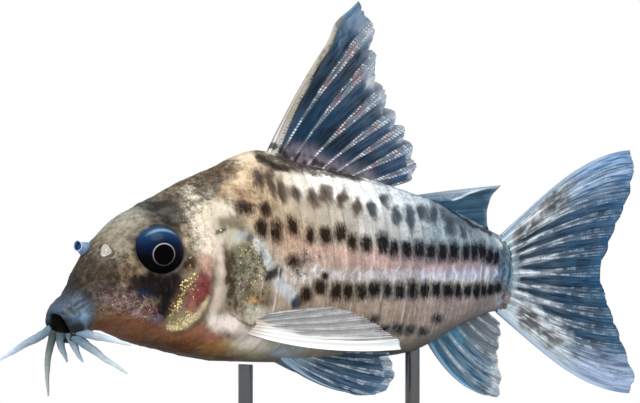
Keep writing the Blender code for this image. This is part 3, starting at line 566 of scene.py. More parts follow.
def brushedSteel():
    # Drawn stainless rod: fine lines along its length that stretch its highlights.
    material, add, shader = newMaterial("brushed_steel")
    place = add("TexCoord").node.outputs["Object"]
    stretched = add("Mapping", {"Vector": place, "Scale": (1, 1, 0.02)})
    lines = add("TexNoise", {"Vector": stretched, "Scale": perMillimetre(0.08), "Detail": 2.0})
    fill(shader, {
        "Base Color": rgba("#c3c5c8"),
        "Metallic": 1.0,
        "Roughness": add("Math MULTIPLY_ADD", lines, 0.2, 0.2),
    })
    bump = add("Bump", {"Strength": 0.15, "Distance": 0.01 * millimetre, "Height": lines})
    fill(shader, {
        "Normal": bump,
    })
    return material


# ---- the skin ----
# Reliefs on the side of the head and shoulder: centre (a, z), half length and height, lean,
# rise, and how wide the slope at the edge is as a share of the half size.
reliefs = {
    "gillCover": {"at": (13.9, 17.9), "half": (2.3, 4.2), "lean": 0.2, "rise": 0.22, "slope": 0.25},
    "gillEdge": {"at": (17.3, 19.4), "half": (0.8, 4.6), "lean": 0.14, "rise": 0.12, "slope": 0.9},
    "shoulder": {"at": (21.4, 19.8), "half": (2.7, 4.3), "lean": -0.28, "rise": 0.2, "slope": 0.3},
    "finRoot": {"at": (20.2, 14.4), "half": (3.4, 1.6), "lean": 0.0, "rise": 0.6, "slope": 0.95},
    "cheek": {"at": (8.2, 17.0), "half": (4.6, 2.4), "lean": 0.0, "rise": 0.14, "slope": 0.35},
    "brow": {"at": (10.6, 26.0), "half": (3.2, 0.8), "lean": 0.9, "rise": 0.06, "slope": 0.9},
}
eyeShape = {"at": (10.45, 22.85), "radius": 2.78, "sunk": 0.8, "rim": 0.12, "rimWidth": 0.3}
lobes = {"at": (2.0, 2.7, 14.9), "reach": 0.95, "rise": 0.7}


def reliefAt(points, relief):
    up = points[..., 2] - relief["at"][1]
    back = points[..., 0] - relief["at"][0] - relief["lean"] * up
    out = np.sqrt((back / relief["half"][0]) ** 2 + (up / relief["half"][1]) ** 2)
    return relief["rise"] * smooth((1 - out) / relief["slope"]), out


def plateEdges():
    centres = np.array(plates["centres"])
    middles = (centres[1:] + centres[:-1]) / 2
    first = centres[0] - (middles[0] - centres[0])
    return np.concatenate([[first], middles, [body["lastPlate"]]])


def columnAngles():  # even steps round a section 11 mm high and 7 mm wide, starting at the belly
    turn = np.linspace(-math.pi / 2, 3 * math.pi / 2, 4001)
    pace = np.sqrt((7 * np.sin(turn)) ** 2 + (11 * np.cos(turn)) ** 2)
    length = np.concatenate([[0], np.cumsum((pace[1:] + pace[:-1]) / 2)])
    return np.interp(np.linspace(0, length[-1], body["columns"], endpoint=False), length, turn)


def skinRings():
    # Each ring's station or place, its plate, and how far it is along that plate.
    rings = [("place", p, -1, 0.0) for p in np.linspace(0, firstRib, body["lipRings"], endpoint=False)]
    edges = plateEdges()
    rings += [("station", s, -1, 0.0)
              for s in np.linspace(fineStations[0], edges[0], body["headRings"], endpoint=False)]
    for number, (front, rear) in enumerate(zip(edges[:-1], edges[1:])):
        for step in plates["steps"]:
            rings.append(("station", front + plates["lap"] + step * (rear - front - plates["lap"]), number, step))
    rings += [("station", s, -1, 0.0) for s in np.linspace(edges[-1] + plates["lap"], fineStations[-1], 14)]
    return rings, edges


def buildSkin(material):
    rings, edges = skinRings()
    angles = columnAngles()
    fold = np.degrees(np.arcsin(np.clip(np.sin(angles), -1, 1)))  # 90 is the back, -90 the belly
    seam, seamHalf, bellyEdge = plates["seam"], plates["seamHalf"], plates["bellyEdge"]
    upper = smooth((fold - seam + seamHalf) / (2 * seamHalf))
    away = np.clip(np.abs(fold - seam) / np.where(fold > seam, 90 - seam, seam - bellyEdge), 0, 1)
    bare = smooth((fold - bellyEdge) / plates["bellyFade"])
    atSeam = np.exp(-(((fold - seam) / seamHalf) ** 2))
    lengths = np.diff(edges)
    placed, plateShare, plateNumber, armoured, ringStation = [], [], [], [], []
    for kind, value, number, step in rings:
        if kind == "place":
            placed.append(np.full(len(angles), value))
            armoured.append(0.0)
        else:
            settle = smooth((value - plates["settling"]) / (edges[0] + 2.5 - plates["settling"]))
            settle *= 1 - smooth((value - edges[-1] + 1.0) / 2.0)
            length = np.interp(value, edges[:-1], lengths)
            shift = -plates["sweep"] * away**1.4 * length / 1.6 - (1 - upper) * length / 2
            placed.append(placeAt(value + shift * settle))
            armoured.append(settle)
        plateShare.append(step)
        plateNumber.append(number)
        ringStation.append(value if kind == "station" else 0.0)
    placed = np.array(placed)
    armoured, plateShare, plateNumber = (np.array(v)[:, None] for v in (armoured, plateShare, plateNumber))
    base, normal = skinAt(placed, angles[None, :])
    a, b, z = base[..., 0], base[..., 1], base[..., 2]
    onPlate = (plateNumber >= 0) * armoured * bare[None, :]
    profile = np.where(plateShare > 0.99, 0.6, 0.1 + 0.9 * smooth(plateShare * 1.05) ** 0.8)
    lift = plates["rise"] * profile * onPlate * (1 - atSeam[None, :])
    lift -= plates["seamDepth"] * atSeam[None, :] * armoured
    # Plate edges for the skin's colour: a pale rear rim, partly the plates' own pale edge and partly painted highlight,
    # and a dark band of painted shade at the front of each plate, where the plate before overlaps it.
    paleEdgeAndHighlightMask = smooth((plateShare - 0.8) / 0.12) * onPlate
    grooveShadeMask = np.exp(-((plateShare / 0.07) ** 2)) * onPlate
    seamHighlightAndShade = paleEdgeAndHighlightMask * (0.45 + 0.55 * (1 - upper)[None, :]) - grooveShadeMask

    # The head: bony covers, soft folds, lobes at the corners of the mouth, eye rims.
    for name, relief in reliefs.items():
        rise, out = reliefAt(base, relief)
        lift += rise
        if name in ("gillCover", "shoulder"):
            deep = 1.0 if name == "gillCover" else 0.35
            lift -= 0.1 * deep * np.exp(-(((out - 1.07) / 0.06) ** 2))
            # A dark line of painted shade in the dip along the cover's edge.
            seamHighlightAndShade -= 0.6 * deep * np.exp(-(((out - 1.05) / 0.05) ** 2))
    corner = np.array(lobes["at"])
    away = np.linalg.norm(base - np.where(b[..., None] < 0, corner * [1, -1, 1], corner), axis=-1)
    lift += lobes["rise"] * np.exp(-((away / lobes["reach"]) ** 2))
    sockets = {}
    for side in sides:
        at, angle = onSide(*eyeShape["at"], side)
        point, out = skinAt(np.array(at), np.array(angle))
        centre = point - eyeShape["sunk"] * out
        sockets[side] = (centre, out)
        reach = np.linalg.norm(np.cross(base - centre, out), axis=-1)
        facing = (base - centre) @ out > 0
        visible = math.sqrt(eyeShape["radius"] ** 2 - eyeShape["sunk"] ** 2)
        ridge = np.exp(-(((reach - visible - 0.3) / eyeShape["rimWidth"]) ** 2))
        lift += eyeShape["rim"] * ridge * facing
        lift -= 1.6 * smooth((visible - 0.1 - reach) / 0.5) * facing
    lipMask = smooth((3.6 - a) / 1.6) * smooth((18.6 - z) / 1.4)
    lipMask = lipMask * smooth((np.arange(a.shape[0]) / body["lipRings"] - 0.7) / 0.3)[:, None]
    lift += 0.1 * ripple(base, 0.9, 5) * lipMask
    headMask = smooth((24 - a) / 4)
    lift += 0.05 * ripple(base, 2.6, 6) * headMask + 0.02 * ripple(base, 0.7, 7) * headMask
    points = base + lift[..., None] * normal

    rows, columns = a.shape
    ringStation = np.array(ringStation)[:, None] * np.ones((1, columns))
    values, paint = paintSkin(base, ringStation, seamHighlightAndShade, plateNumber, plateShare, onPlate, lipMask)
    quads, corners = gridFaces(rows, columns, True)
    uv = corners / [columns, rows - 1]
    flat = points.reshape(-1, 3)
    ends = [flat[:columns].mean(axis=0), flat[-columns:].mean(axis=0)]
    flat = np.vstack([flat, ends])
    ring = np.arange(columns)
    following = (ring + 1) % columns
    last = (rows - 1) * columns
    fans = np.vstack([
        np.column_stack([np.full(columns, rows * columns), following, ring]),
        np.column_stack([np.full(columns, rows * columns + 1), last + ring, last + following]),
    ])
    fanUv = np.full((2 * columns, 3, 2), 0.001)
    values = {key: np.append(value.ravel(), value.reshape(-1)[[0, -1]]) for key, value in values.items()}
    paint = np.vstack([paint.reshape(-1, 3), paint.reshape(-1, 3)[[0, -1]]])
    skin = meshPiece("catfish_skin", bend(flat), [quads, fans], [uv, fanUv], material, values, {"paint": paint})
    place(skin, "skin", "head", "gill_cover_left", "gill_cover_right", "torso", "tail_stalk", "mouth")
    return sockets


# Long soft bands down the flank, front to rear: a line of (a, z) points, half height, softness,
# strength, and colours with the station that each belongs to.
bands = {
    # The back's near white about station 32 is partly its own pale colour and partly a painted highlight.
    "back": (((22, 33.5), (37, 30.4), (54, 24.3)), 4.4, 0.5, 1.0,
             ((24, "#cbb798"), (32, "#fbf7ef"), (38, "#d9e0e1"), (44, "#b9c8d1"), (49, "#6c7f8d"), (53, "#7c92a0"))),
    "upperSide": (((22, 27.0), (37, 25.2), (54, 23.2)), 2.6, 0.6, 0.9,
                  ((24, "#c8b08f"), (34, "#beb7aa"), (40, "#c0c6c8"), (46, "#91a4b0"), (53, "#8795a0"))),
    "pinkBand": (((24, 22.8), (32, 22.0), (44, 21.1), (55, 20.9)), 1.7, 0.5, 0.95,
                 ((26, "#c0a896"), (34, "#c1a49b"), (44, "#ab9094"), (53, "#8f8391"))),
    "paleStreak": (((26, 20.1), (38, 19.9), (54, 19.8)), 1.1, 1.0, 0.85,
                   ((28, "#c0b5b0"), (40, "#b3b1bb"), (46, "#b3b9d0"), (53, "#8ba2c2"))),
    "tanFlank": (((22, 15.6), (38, 15.4), (54, 16.8)), 3.0, 0.35, 0.95,
                 ((26, "#bda893"), (38, "#ab9787"), (52, "#93868a"))),
    "belly": (((18, 11.4), (38, 10.9), (50, 14.3), (54, 15.8)), 1.5, 0.9, 0.85,
              ((20, "#97764e"), (29, "#b3a78f"), (40, "#958c80"), (52, "#73757a"))),
}

# Soft patches: centre (a, z), half length and height, lean in degrees, colour, strength, softness.
patches = {
    "foreheadSheen": ((8.9, 26.7), (5.4, 0.95), 33, "#a3a597", 0.95, 0.9),
    "foreheadMid": ((7.2, 24.4), (2.6, 1.2), 35, "#857c69", 0.8, 1.0),
    "snoutEdge": ((3.3, 21.3), (0.8, 3.84), -35, "#34352f", 0.85, 0.9),
    "browBehind": ((14.0, 25.2), (0.8, 2.9), 0, "#5d4a33", 0.85, 0.9),
    "crown": ((16.0, 28.5), (2.70, 0.98), 27, "#7b7158", 0.8, 0.9),
    "crownPale": ((16.0, 28.8), (0.94, 0.82), 25, "#efe6cf", 0.92, 0.9),
    "aboveEye": ((12.3, 26.5), (2.3, 2.35), 39, "#0a0b08", 0.97, 0.8),
    "aboveEyeRear": ((13.4, 26.5), (0.85, 1.10), 0, "#4a4134", 0.8, 0.9),
    "snoutDark": ((4.1, 21.6), (1.5, 1.2), 24, "#372e22", 0.85, 0.9),
    "snoutMiddle": ((4.2, 20.2), (2.6, 2.0), 14, "#40372c", 0.8, 1.0),
    "snoutBrown": ((5.0, 20.2), (1.5, 1.1), 0, "#473b2f", 0.8, 1.0),
    "cheekTan": ((7.2, 20.4), (1.6, 1.1), 22, "#7a634e", 0.75, 1.0),
    "snoutOlive": ((3.6, 18.7), (1.8, 1.3), 24, "#332e26", 0.85, 0.9),
    "snoutFront": ((1.8, 18.4), (0.8, 2.2), -24, "#20262b", 0.95, 0.9),
    "snoutShadow": ((2.3, 18.8), (0.88, 2.09), 24, "#2a2922", 0.8, 1.0),
    "nostrilShade": ((5.8, 22.8), (1.87, 1.21), 30, "#7f7464", 0.6, 1.0),
    "mauveCheek": ((6.0, 17.5), (3.20, 1.65), -8, "#665253", 0.9, 0.7),
    "mauveLow": ((7.7, 16.0), (2.3, 0.9), -16, "#86696a", 0.8, 0.8),
    "cheekUnder": ((4.0, 16.4), (1.55, 0.66), 0, "#64503f", 0.8, 0.8),
    "eyeSocket": ((10.4, 22.4), (3.1, 3.0), 0, "#2a231f", 0.92, 0.5),
    "eyeRimLow": ((11.9, 20.8), (1.6, 0.5), 38, "#9a8488", 0.6, 0.9),
    "underEye": ((9.6, 18.9), (2.9, 1.6), -4, "#0d0608", 0.98, 0.6),
    "underEyeRear": ((11.9, 19.1), (1.10, 1.32), 30, "#1b0d12", 0.96, 0.8),
    "tear": ((10.7, 16.7), (1.05, 2.6), -26, "#0a070e", 0.98, 0.7),
    "underEyeFront": ((7.9, 18.9), (1.25, 0.8), 10, "#150e0e", 0.9, 0.9),
    "blueSheen": ((8.4, 18.0), (0.95, 0.5), -22, "#172340", 0.7, 1.0),
    "cheekRed": ((9.2, 16.2), (0.9, 0.6), 11, "#58292f", 0.85, 0.9),
    "cheekViolet": ((9.9, 15.2), (0.71, 0.44), -11, "#6d6587", 0.75, 0.9),
    "behindEye": ((15.8, 24.6), (1.96, 3.30), 0, "#ddd0bd", 0.94, 0.6),
    "behindEyeTop": ((17.4, 27.2), (1.67, 1.43), 0, "#d4c9b3", 0.88, 0.8),
    "behindEyePink": ((15.2, 21.5), (1.2, 1.1), 0, "#bd9686", 0.75, 0.9),
    "behindEyeLight": ((13.8, 23.9), (0.55, 1.54), 0, "#b5a88f", 0.8, 1.0),
    "eyeCorner": ((13.5, 21.1), (1.25, 0.6), 36, "#2e1c14", 0.95, 0.9),
    "goldBase": ((12.2, 17.5), (0.6, 2.2), -36, "#57432c", 0.9, 0.9),
    "gillRed": ((14.5, 18.2), (1.4, 2.4), -28, "#83403f", 0.92, 0.8),
    # The gill's darker core is partly its own red and partly painted shade; its paler top is partly its own pink and
    # partly a painted highlight.
    "gillRedDarkAndShade": ((15.1, 18.3), (0.6, 1.6), -26, "#74282e", 0.6, 1.0),
    "gillRedPinkAndHighlight": ((15.7, 20.7), (0.63, 0.99), 0, "#c79c90", 0.7, 0.9),
    "gillRedLow": ((13.5, 16.4), (0.9, 0.75), 39, "#9a6858", 0.75, 0.9),
    "cheekYellow": ((12.4, 15.3), (1.2, 0.7), 25, "#9a8c66", 0.85, 0.9),
    "nape": ((21.9, 30.1), (2.49, 2.53), -10, "#c6ad8c", 0.95, 0.6),
    "napeTop": ((23.5, 32.6), (1.90, 0.44), 16, "#dccbb2", 0.8, 0.8),
    "napeSpeckled": ((20.0, 30.8), (2.25, 0.96), 38, "#644b39", 0.85, 0.8),
    "napeEdge": ((17.7, 29.8), (2.48, 0.54), 32, "#644f3c", 0.7, 0.9),
    "orangeSpot": ((21.0, 29.2), (0.66, 0.55), 0, "#8f5f3a", 0.75, 1.0),
    "napeGrey": ((19.0, 27.2), (1.23, 0.88), 0, "#d9cfba", 0.8, 0.8),
    "peach": ((22.2, 28.3), (1.26, 1.10), 0, "#a08260", 0.7, 1.0),
    "napeRear": ((24.5, 29.2), (1.77, 2.64), 0, "#b9a184", 0.85, 0.8),
    "napeBrown": ((23.9, 30.5), (0.49, 0.82), 0, "#4f3423", 0.85, 0.8),
    "napeBrownRear": ((25.1, 30.5), (0.39, 0.99), -6, "#5d412e", 0.75, 0.9),
    "napeDarkSmear": ((21.4, 27.6), (1.04, 0.49), 12, "#3a2c20", 0.7, 0.9),
    "napeDarkRear": ((24.0, 26.9), (0.55, 0.77), 0, "#35281f", 0.75, 0.9),
    "oliveSpot": ((17.9, 24.75), (0.8, 0.26), 11, "#463e24", 0.9, 0.5),
    "shoulderPale": ((26.9, 24.0), (2.62, 1.5), 0, "#c3a185", 0.75, 0.9),
    "shoulderPlate": ((21.3, 20.0), (3.0, 4.3), -17, "#8b8470", 0.95, 0.5),
    "shoulderGreen": ((20.3, 21.7), (1.6, 2.1), -12, "#74745f", 0.75, 0.9),
    "cleftMottle": ((18.5, 20.6), (0.5, 2.8), -4, "#695e4c", 0.75, 1.0),
    "shoulderBrown": ((22.3, 17.8), (2.4, 1.6), -12, "#81715a", 0.8, 0.9),
    "shoulderOrange": ((21.9, 17.3), (1.1, 0.6), 0, "#b98b50", 0.7, 0.9),
    "shoulderAbove": ((19.0, 24.1), (1.56, 1.00), 8, "#c9c3ae", 0.85, 0.7),
    "shoulderDarkTop": ((21.5, 24.1), (0.7, 0.5), 0, "#3a3b42", 0.8, 0.8),
    "shoulderBlue": ((20.4, 24.3), (1.02, 0.47), 25, "#a9b5bc", 0.7, 0.9),
    "paleBelow": ((22.6, 15.6), (2.3, 1.1), -8, "#c9c8b4", 0.9, 0.8),
    "flankUnderFin": ((27.9, 15.6), (3.83, 1.10), 0, "#b9aa98", 0.8, 0.8),
    "throat": ((7.5, 14.3), (4.6, 1.5), -12, "#7c5139", 0.95, 0.5),
    "throatMid": ((14.0, 12.8), (3.2, 1.2), -9, "#85563a", 0.9, 0.6),
    "throatRear": ((19.3, 12.1), (3.6, 1.1), -3, "#b3834d", 0.9, 0.7),
    "throatEdge": ((11.4, 12.3), (5.5, 0.7), -8, "#5c3d2c", 0.7, 1.0),
    "throatRed": ((15.0, 14.0), (1.80, 0.99), 0, "#9c5f49", 0.6, 1.0),
    "rootPink": ((16.9, 13.7), (1.5, 0.9), 0, "#b06f5f", 0.75, 1.0),
    "rootWhite": ((18.4, 15.1), (2.0, 1.0), -6, "#d9c9c0", 0.9, 0.9),
    "bellyFront": ((23.0, 12.2), (3.6, 1.2), -4, "#d6d3bd", 0.9, 0.9),
    "bellyBlue": ((27.0, 11.6), (2.2, 0.9), -2, "#b3c1c8", 0.85, 0.9),
    "pelvicRootBlue": ((26.7, 11.4), (1.10, 0.55), -4, "#c3d0d8", 0.9, 0.9),
    "pelvicShade": ((36.7, 11.6), (3.74, 0.37), -2, "#525d68", 0.8, 0.8),
    "lipsEdge": ((1.2, 16.0), (2.4, 2.3), 14, "#35424e", 0.9, 0.8),
    "lips": ((1.2, 15.4), (2.1, 2.1), 10, "#455c74", 0.95, 0.6),
    "snoutShade": ((3.0, 17.6), (0.99, 0.88), -20, "#27303a", 0.35, 1.0),
    # A painted highlight on the lobe at the corner of the mouth.
    "lobe": ((2.4, 15.3), (0.7, 0.9), 7, "#7d99b0", 0.75, 0.9),
    "lipShade": ((0.9, 16.2), (1.0, 0.5), 20, "#27323b", 0.8, 0.9),
    # Painted shade under the lips and on the chin.
    "lipUnderShade": ((0.9, 13.7), (1.9, 1.5), -30, "#1f2024", 0.95, 0.6),
    "dorsalFootDark": ((26.0, 32.1), (1.15, 0.5), -30, "#1a0f0a", 0.97, 0.7),
    "dorsalFootFront": ((25.1, 32.7), (0.6, 0.36), -20, "#2e1f17", 0.9, 0.9),
    "dorsalFootMiddle": ((28.5, 31.4), (1.4, 0.42), -14, "#2a1c15", 0.92, 0.9),
    "dorsalFootRear": ((36.0, 30.7), (1.4, 0.42), -14, "#2b211d", 0.92, 0.8),
    "backDark": ((47.6, 26.0), (2.20, 0.77), -28, "#3f505c", 0.8, 1.0),
    "backDarkUpper": ((46.0, 27.4), (0.99, 0.44), -28, "#4c5d69", 0.3, 1.0),
    "stalkDark": ((53.1, 24.1), (0.66, 1.10), 20, "#3c4b57", 0.7, 1.0),
    "adiposeRoot": ((47.6, 27.0), (1.69, 0.85), -30, "#567284", 0.85, 0.8),
    "stalkTop": ((53.5, 24.1), (0.79, 0.77), 0, "#9fb0b4", 0.6, 0.9),
    "stalkBar": ((53.0, 20.4), (0.8, 4.2), 0, "#3c586e", 0.6, 1.0),
    "stalkEnd": ((54.7, 20.3), (0.6, 5.0), 0, "#aecbd7", 0.9, 0.8),
    "stalkTeal": ((53.9, 20.4), (1.2, 2.2), 0, "#6c9fbb", 0.6, 1.0),
    "stalkTopEdge": ((52.8, 23.6), (0.44, 0.77), 0, "#d3dfe6", 0.75, 1.0),
    "stalkFoot": ((52.7, 17.1), (0.55, 0.77), 0, "#a3acbb", 0.6, 1.0),
}

# Strokes: a line of (a, z) points, half width, colour, strength, softness.
strokes = {
    "goldEdge": (((13.6, 20.6), (13.2, 19.1), (12.3, 17.5), (11.6, 15.9)), 0.2, "#a8925a", 0.3, 1.2),
    "paleCrescent": (((11.9, 14.3), (13.4, 14.7), (14.6, 15.8), (15.4, 17.3)), 0.4, "#cbbf97", 0.8, 1.1),
    "creamStripe": (((17.1, 23.4), (17.5, 21.3), (17.3, 19.2), (16.9, 17.2), (16.2, 15.7)), 0.56, "#dccabc", 0.75, 1.7),
    "brownEdge": (((18.3, 22.6), (18.3, 20.7), (18.7, 18.5), (19.3, 16.6)), 0.29, "#56442f", 0.85, 0.8),
    "barUpper": (((22.7, 23.5), (24.1, 20.8)), 0.75, "#c3c6c5", 0.97, 0.4),
    "barLower": (((25.4, 19.1), (26.7, 17.7)), 0.85, "#bfc1c8", 0.95, 0.5),
    "barShade": (((22.8, 22.1), (23.5, 20.2)), 0.22, "#4a4640", 0.8, 0.8),
    "blobMiddle": (((23.8, 19.9), (25.0, 20.2)), 0.66, "#2b2730", 0.97, 0.5),
    "blobLower": (((27.3, 17.0), (27.7, 17.3)), 0.66, "#39414e", 0.97, 0.6),
    "zigzag": (((26.8, 23.7), (30.5, 22.8), (34.4, 22.1)), 0.44, "#cba897", 0.5, 0.9),
    "napeSuture": (((24.8, 31.9), (24.5, 30.3), (24.1, 29.2)), 0.18, "#6a5744", 0.7, 0.8),
    "napeSutureRear": (((25.9, 31.8), (25.8, 30.3), (25.5, 28.7)), 0.17, "#5f4d3c", 0.7, 0.8),
    "napeCurve": (((22.5, 32.1), (20.3, 30.3), (18.3, 28.1)), 0.20, "#a98c66", 0.5, 0.9),
    "dorsalSeam": (((25.0, 32.9), (26.4, 31.9), (27.9, 31.3)), 0.29, "#3a2b23", 0.92, 0.7),
    "dorsalSeamMiddle": (((27.2, 32.9), (30.0, 31.9), (32.5, 31.6)), 0.4, "#59484a", 0.8, 0.9),
    "dorsalSeamRear": (((32.2, 31.7), (33.6, 31.4), (35.3, 31.0), (37.2, 30.5)), 0.3, "#3d332f", 0.85, 0.8),
    "backLine": (((37.5, 30.3), (39.9, 29.8), (42.1, 29.2), (43.5, 28.6)), 0.12, "#5b6c78", 0.45, 0.8),
    "stalkScute": (((53.3, 24.4), (54.1, 23.9), (54.2, 21.8), (54.0, 19.4), (53.2, 17.4)), 0.2, "#1f2f3d", 0.6, 1.0),
    "stalkScuteFront": (((52.7, 24.5), (53.3, 23.3), (53.3, 21.3), (53.0, 19.0)), 0.16, "#33475a", 0.6, 1.0),
    "rootFlesh": (((16.6, 15.0), (18.6, 14.4), (20.8, 13.6), (23.5, 12.5)), 0.85, "#e4d8cf", 0.92, 1.0),
    "rootCrease": (((20.2, 15.3), (21.6, 14.6), (22.9, 14.8)), 0.12, "#3e3530", 0.75, 0.9),
    "rootCreaseFront": (((18.5, 15.9), (19.7, 15.4), (20.6, 15.0)), 0.1, "#6e4f46", 0.7, 0.9),
    "adiposeLine": (((46.5, 27.5), (48.0, 26.6), (49.6, 25.6), (51.9, 24.4)), 0.22, "#1d262e", 0.9, 0.7),
}

# Dark spots: (a, z, half width, half height) of each, and how solid a row's pigment is.
spotRows = {
    "upper": (1.0, (
        (23.4, 25.1, 0.81, 1.16), (25.2, 24.8, 0.77, 1.32), (27.4, 25.3, 0.72, 1.21), (29.5, 24.3, 0.62, 1.04),
        (31.4, 24.2, 0.77, 0.99), (33.3, 24.5, 0.74, 1.10), (34.6, 23.5, 0.69, 0.99), (36.4, 23.4, 0.75, 0.99),
        (38.5, 23.4, 0.70, 1.21), (39.9, 22.8, 0.63, 0.99), (41.5, 22.7, 0.70, 1.04), (43.0, 22.7, 0.71, 1.10),
        (44.5, 22.5, 0.67, 1.16), (45.9, 22.4, 0.68, 1.10), (47.3, 22.5, 0.67, 1.10), (48.7, 22.4, 0.60, 0.99),
        (49.8, 22.4, 0.54, 1.04), (50.8, 22.4, 0.52, 1.21), (51.6, 22.0, 0.46, 0.99), (52.3, 21.8, 0.41, 0.88))),
    "lower": (1.0, (
        (28.7, 17.8, 0.79, 0.99), (30.4, 18.6, 0.75, 0.94), (31.0, 19.8, 0.37, 0.44), (32.4, 18.2, 0.74, 1.04),
        (33.9, 18.1, 0.69, 1.04), (35.6, 18.2, 0.81, 0.99), (37.2, 18.3, 0.72, 0.99), (38.9, 18.4, 0.71, 0.99),
        (40.5, 18.2, 0.69, 0.99), (42.1, 18.3, 0.72, 0.99), (43.6, 18.3, 0.61, 0.99), (45.1, 18.3, 0.69, 0.94),
        (46.5, 18.2, 0.67, 0.88), (47.7, 18.2, 0.54, 0.88), (48.9, 18.2, 0.49, 0.88), (50.0, 18.2, 0.52, 0.88),
        (50.9, 18.3, 0.46, 0.77), (51.7, 18.4, 0.47, 0.71), (52.5, 18.5, 0.40, 0.66))),
    "belly": (0.74, (
        (37.3, 15.1, 0.75, 0.55), (38.7, 14.1, 0.79, 0.49), (40.5, 14.0, 0.89, 0.66), (42.0, 13.8, 0.76, 0.66),
        (43.7, 13.7, 0.62, 0.60), (45.4, 15.1, 0.62, 0.55))),
    "nape": (0.86, (
        (23.9, 30.5, 0.6, 1.10), (21.6, 27.3, 1.28, 0.71), (24.1, 27.1, 0.79, 0.88), (27.2, 21.5, 0.79, 0.77))),
    "smudges": (0.28, (
        (25.5, 30.1, 0.6, 1.43), (26.8, 29.2, 0.6, 1.32), (28.5, 29.0, 0.8, 0.77), (30.4, 28.3, 0.63, 0.99),
        (32.2, 28.6, 0.7, 1.10), (34.1, 28.3, 0.55, 0.84), (35.8, 27.4, 0.64, 0.99), (37.5, 27.0, 0.61, 0.99),
        (39.4, 28.1, 0.5, 0.7), (40.7, 26.6, 0.62, 0.99), (42.2, 26.2, 0.73, 1.21), (43.8, 26.8, 0.64, 0.88),
        (45.1, 26.3, 0.62, 0.99), (46.9, 25.0, 0.60, 0.88), (48.3, 24.6, 0.50, 0.7))),
}

# Where pigment cells crowd and where crystals show as painted glints: centre, half size, lean, density.
peppered = {
    "snout": ((4.5, 20.5), (3.6, 3.6), 30, 0.45),
    "forehead": ((8.5, 24.5), (5.5, 2.6), 36, 0.25),
    "crown": ((15.8, 28.9), (5.5, 2.0), 28, 0.5),
    "behindEye": ((14.4, 25.0), (1.2, 3.4), -4, 0.42),
    "cheek": ((6.2, 17.0), (3.6, 1.8), -8, 0.3),
    "behindEyeSoft": ((16.4, 26.6), (2.6, 2.6), 0, 0.1),
    "napeTop": ((20.4, 31.4), (3.2, 1.2), 24, 0.5),
    "cleft": ((18.6, 19.8), (0.8, 3.6), -6, 0.6),
    "shoulder": ((20.7, 20.0), (2.2, 4.3), -17, 0.36),
    "shoulderLow": ((22.4, 17.4), (2.2, 1.2), -17, 0.42),
    "oliveSpot": ((18.0, 24.75), (0.9, 0.36), 11, 0.45),
    "napeDots": ((22.0, 28.0), (3.2, 2.2), 0, 0.3),
    "flankFront": ((28.0, 21.3), (2.4, 1.6), 30, 0.42),
    "flank": ((38.0, 22.5), (15.0, 7.0), -8, 0.12),
    "backRear": ((47.8, 26.0), (3.4, 1.1), -24, 0.32),
    "dorsalFoot": ((26.2, 32.4), (2.2, 1.3), -24, 0.8),
    "dorsalRoot": ((31.0, 31.9), (6.5, 1.1), -12, 0.75),
    "stalkEnd": ((53.3, 20.4), (0.9, 4.2), 0, 0.32),
    "lips": ((1.6, 15.6), (2.6, 2.2), 10, 0.2),
}
glinting = {
    "cheek": ((6.8, 16.6), (3.4, 1.5), -8, 0.12),
    "goldTop": ((13.1, 19.2), (0.55, 1.9), -38, 0.68),
    "gold": ((12.1, 17.0), (0.5, 1.9), -26, 0.74),
    "oliveSpot": ((17.9, 24.75), (0.8, 0.36), 11, 0.5),
    "goldLow": ((13.0, 15.1), (2.2, 0.9), 30, 0.75),
    "gillRed": ((14.2, 18.6), (1.0, 2.0), -26, 0.35),
    "shoulder": ((21.0, 20.6), (2.4, 3.8), -17, 0.28),
    "brow": ((14.2, 25.4), (1.0, 3.0), 0, 0.2),
    "eyeRear": ((13.8, 21.6), (0.8, 1.8), 0, 0.3),
    "tear": ((11.4, 16.5), (0.8, 1.4), -22, 0.2),
    "shoulderLow": ((24.0, 18.0), (2.0, 2.0), 0, 0.12),
    "flank": ((38.0, 20.4), (16.0, 3.0), -4, 0.03),
}
# Where pigment is marbled, and where thin pale squiggles run.
marbled = {
    "snout": ((5.0, 20.2), (4.2, 4.2), 28, 0.95),
    "forehead": ((9.5, 25.5), (7.0, 2.6), 35, 0.45),
    "crown": ((16.0, 29.0), (6.5, 2.2), 28, 0.9),
    "cheek": ((7.0, 16.8), (5.0, 2.2), -10, 0.75),
    "behindEye": ((15.0, 23.5), (2.2, 5.0), 0, 0.42),
    "cover": ((13.8, 18.0), (2.2, 4.0), -22, 0.55),
    "shoulder": ((21.2, 19.8), (3.0, 5.0), -17, 0.8),
    "nape": ((22.6, 28.5), (4.4, 4.5), 0, 0.5),
    "flankFront": ((28.0, 22.0), (4.5, 5.0), 0, 0.4),
    "throat": ((11.0, 13.4), (9.0, 1.6), -10, 0.2),
    "back": ((40.0, 28.0), (14.0, 3.0), -14, 0.35),
    "flank": ((40.0, 18.0), (14.0, 6.5), 0, 0.22),
    "stalk": ((53.4, 20.4), (1.6, 5.0), 0, 0.7),
}
squiggled = {
    "cheek": ((7.4, 16.9), (2.6, 1.35), -10, 0.8),
    "cheekLow": ((8.8, 15.9), (1.6, 0.8), -10, 0.7),
}


def leaningOval(a, z, at, half, lean, power=2):  # 0 at the centre and 1 at the edge
    turn = math.radians(lean)
    x = (a - at[0]) * math.cos(turn) + (z - at[1]) * math.sin(turn)
    y = (z - at[1]) * math.cos(turn) - (a - at[0]) * math.sin(turn)
    return (np.abs(x / half[0]) ** power + np.abs(y / half[1]) ** power) ** (1 / power)


def toned(paint):  # holds the paints back a little, except those near white
    return paint * (0.82 + 0.18 * smooth((paint.max(axis=-1, keepdims=True) - 0.5) / 0.4))


def coat(paint, mask, code):
    colour = hexColour(code) if isinstance(code, str) else code
    return paint + (colour - paint) * mask[..., None]


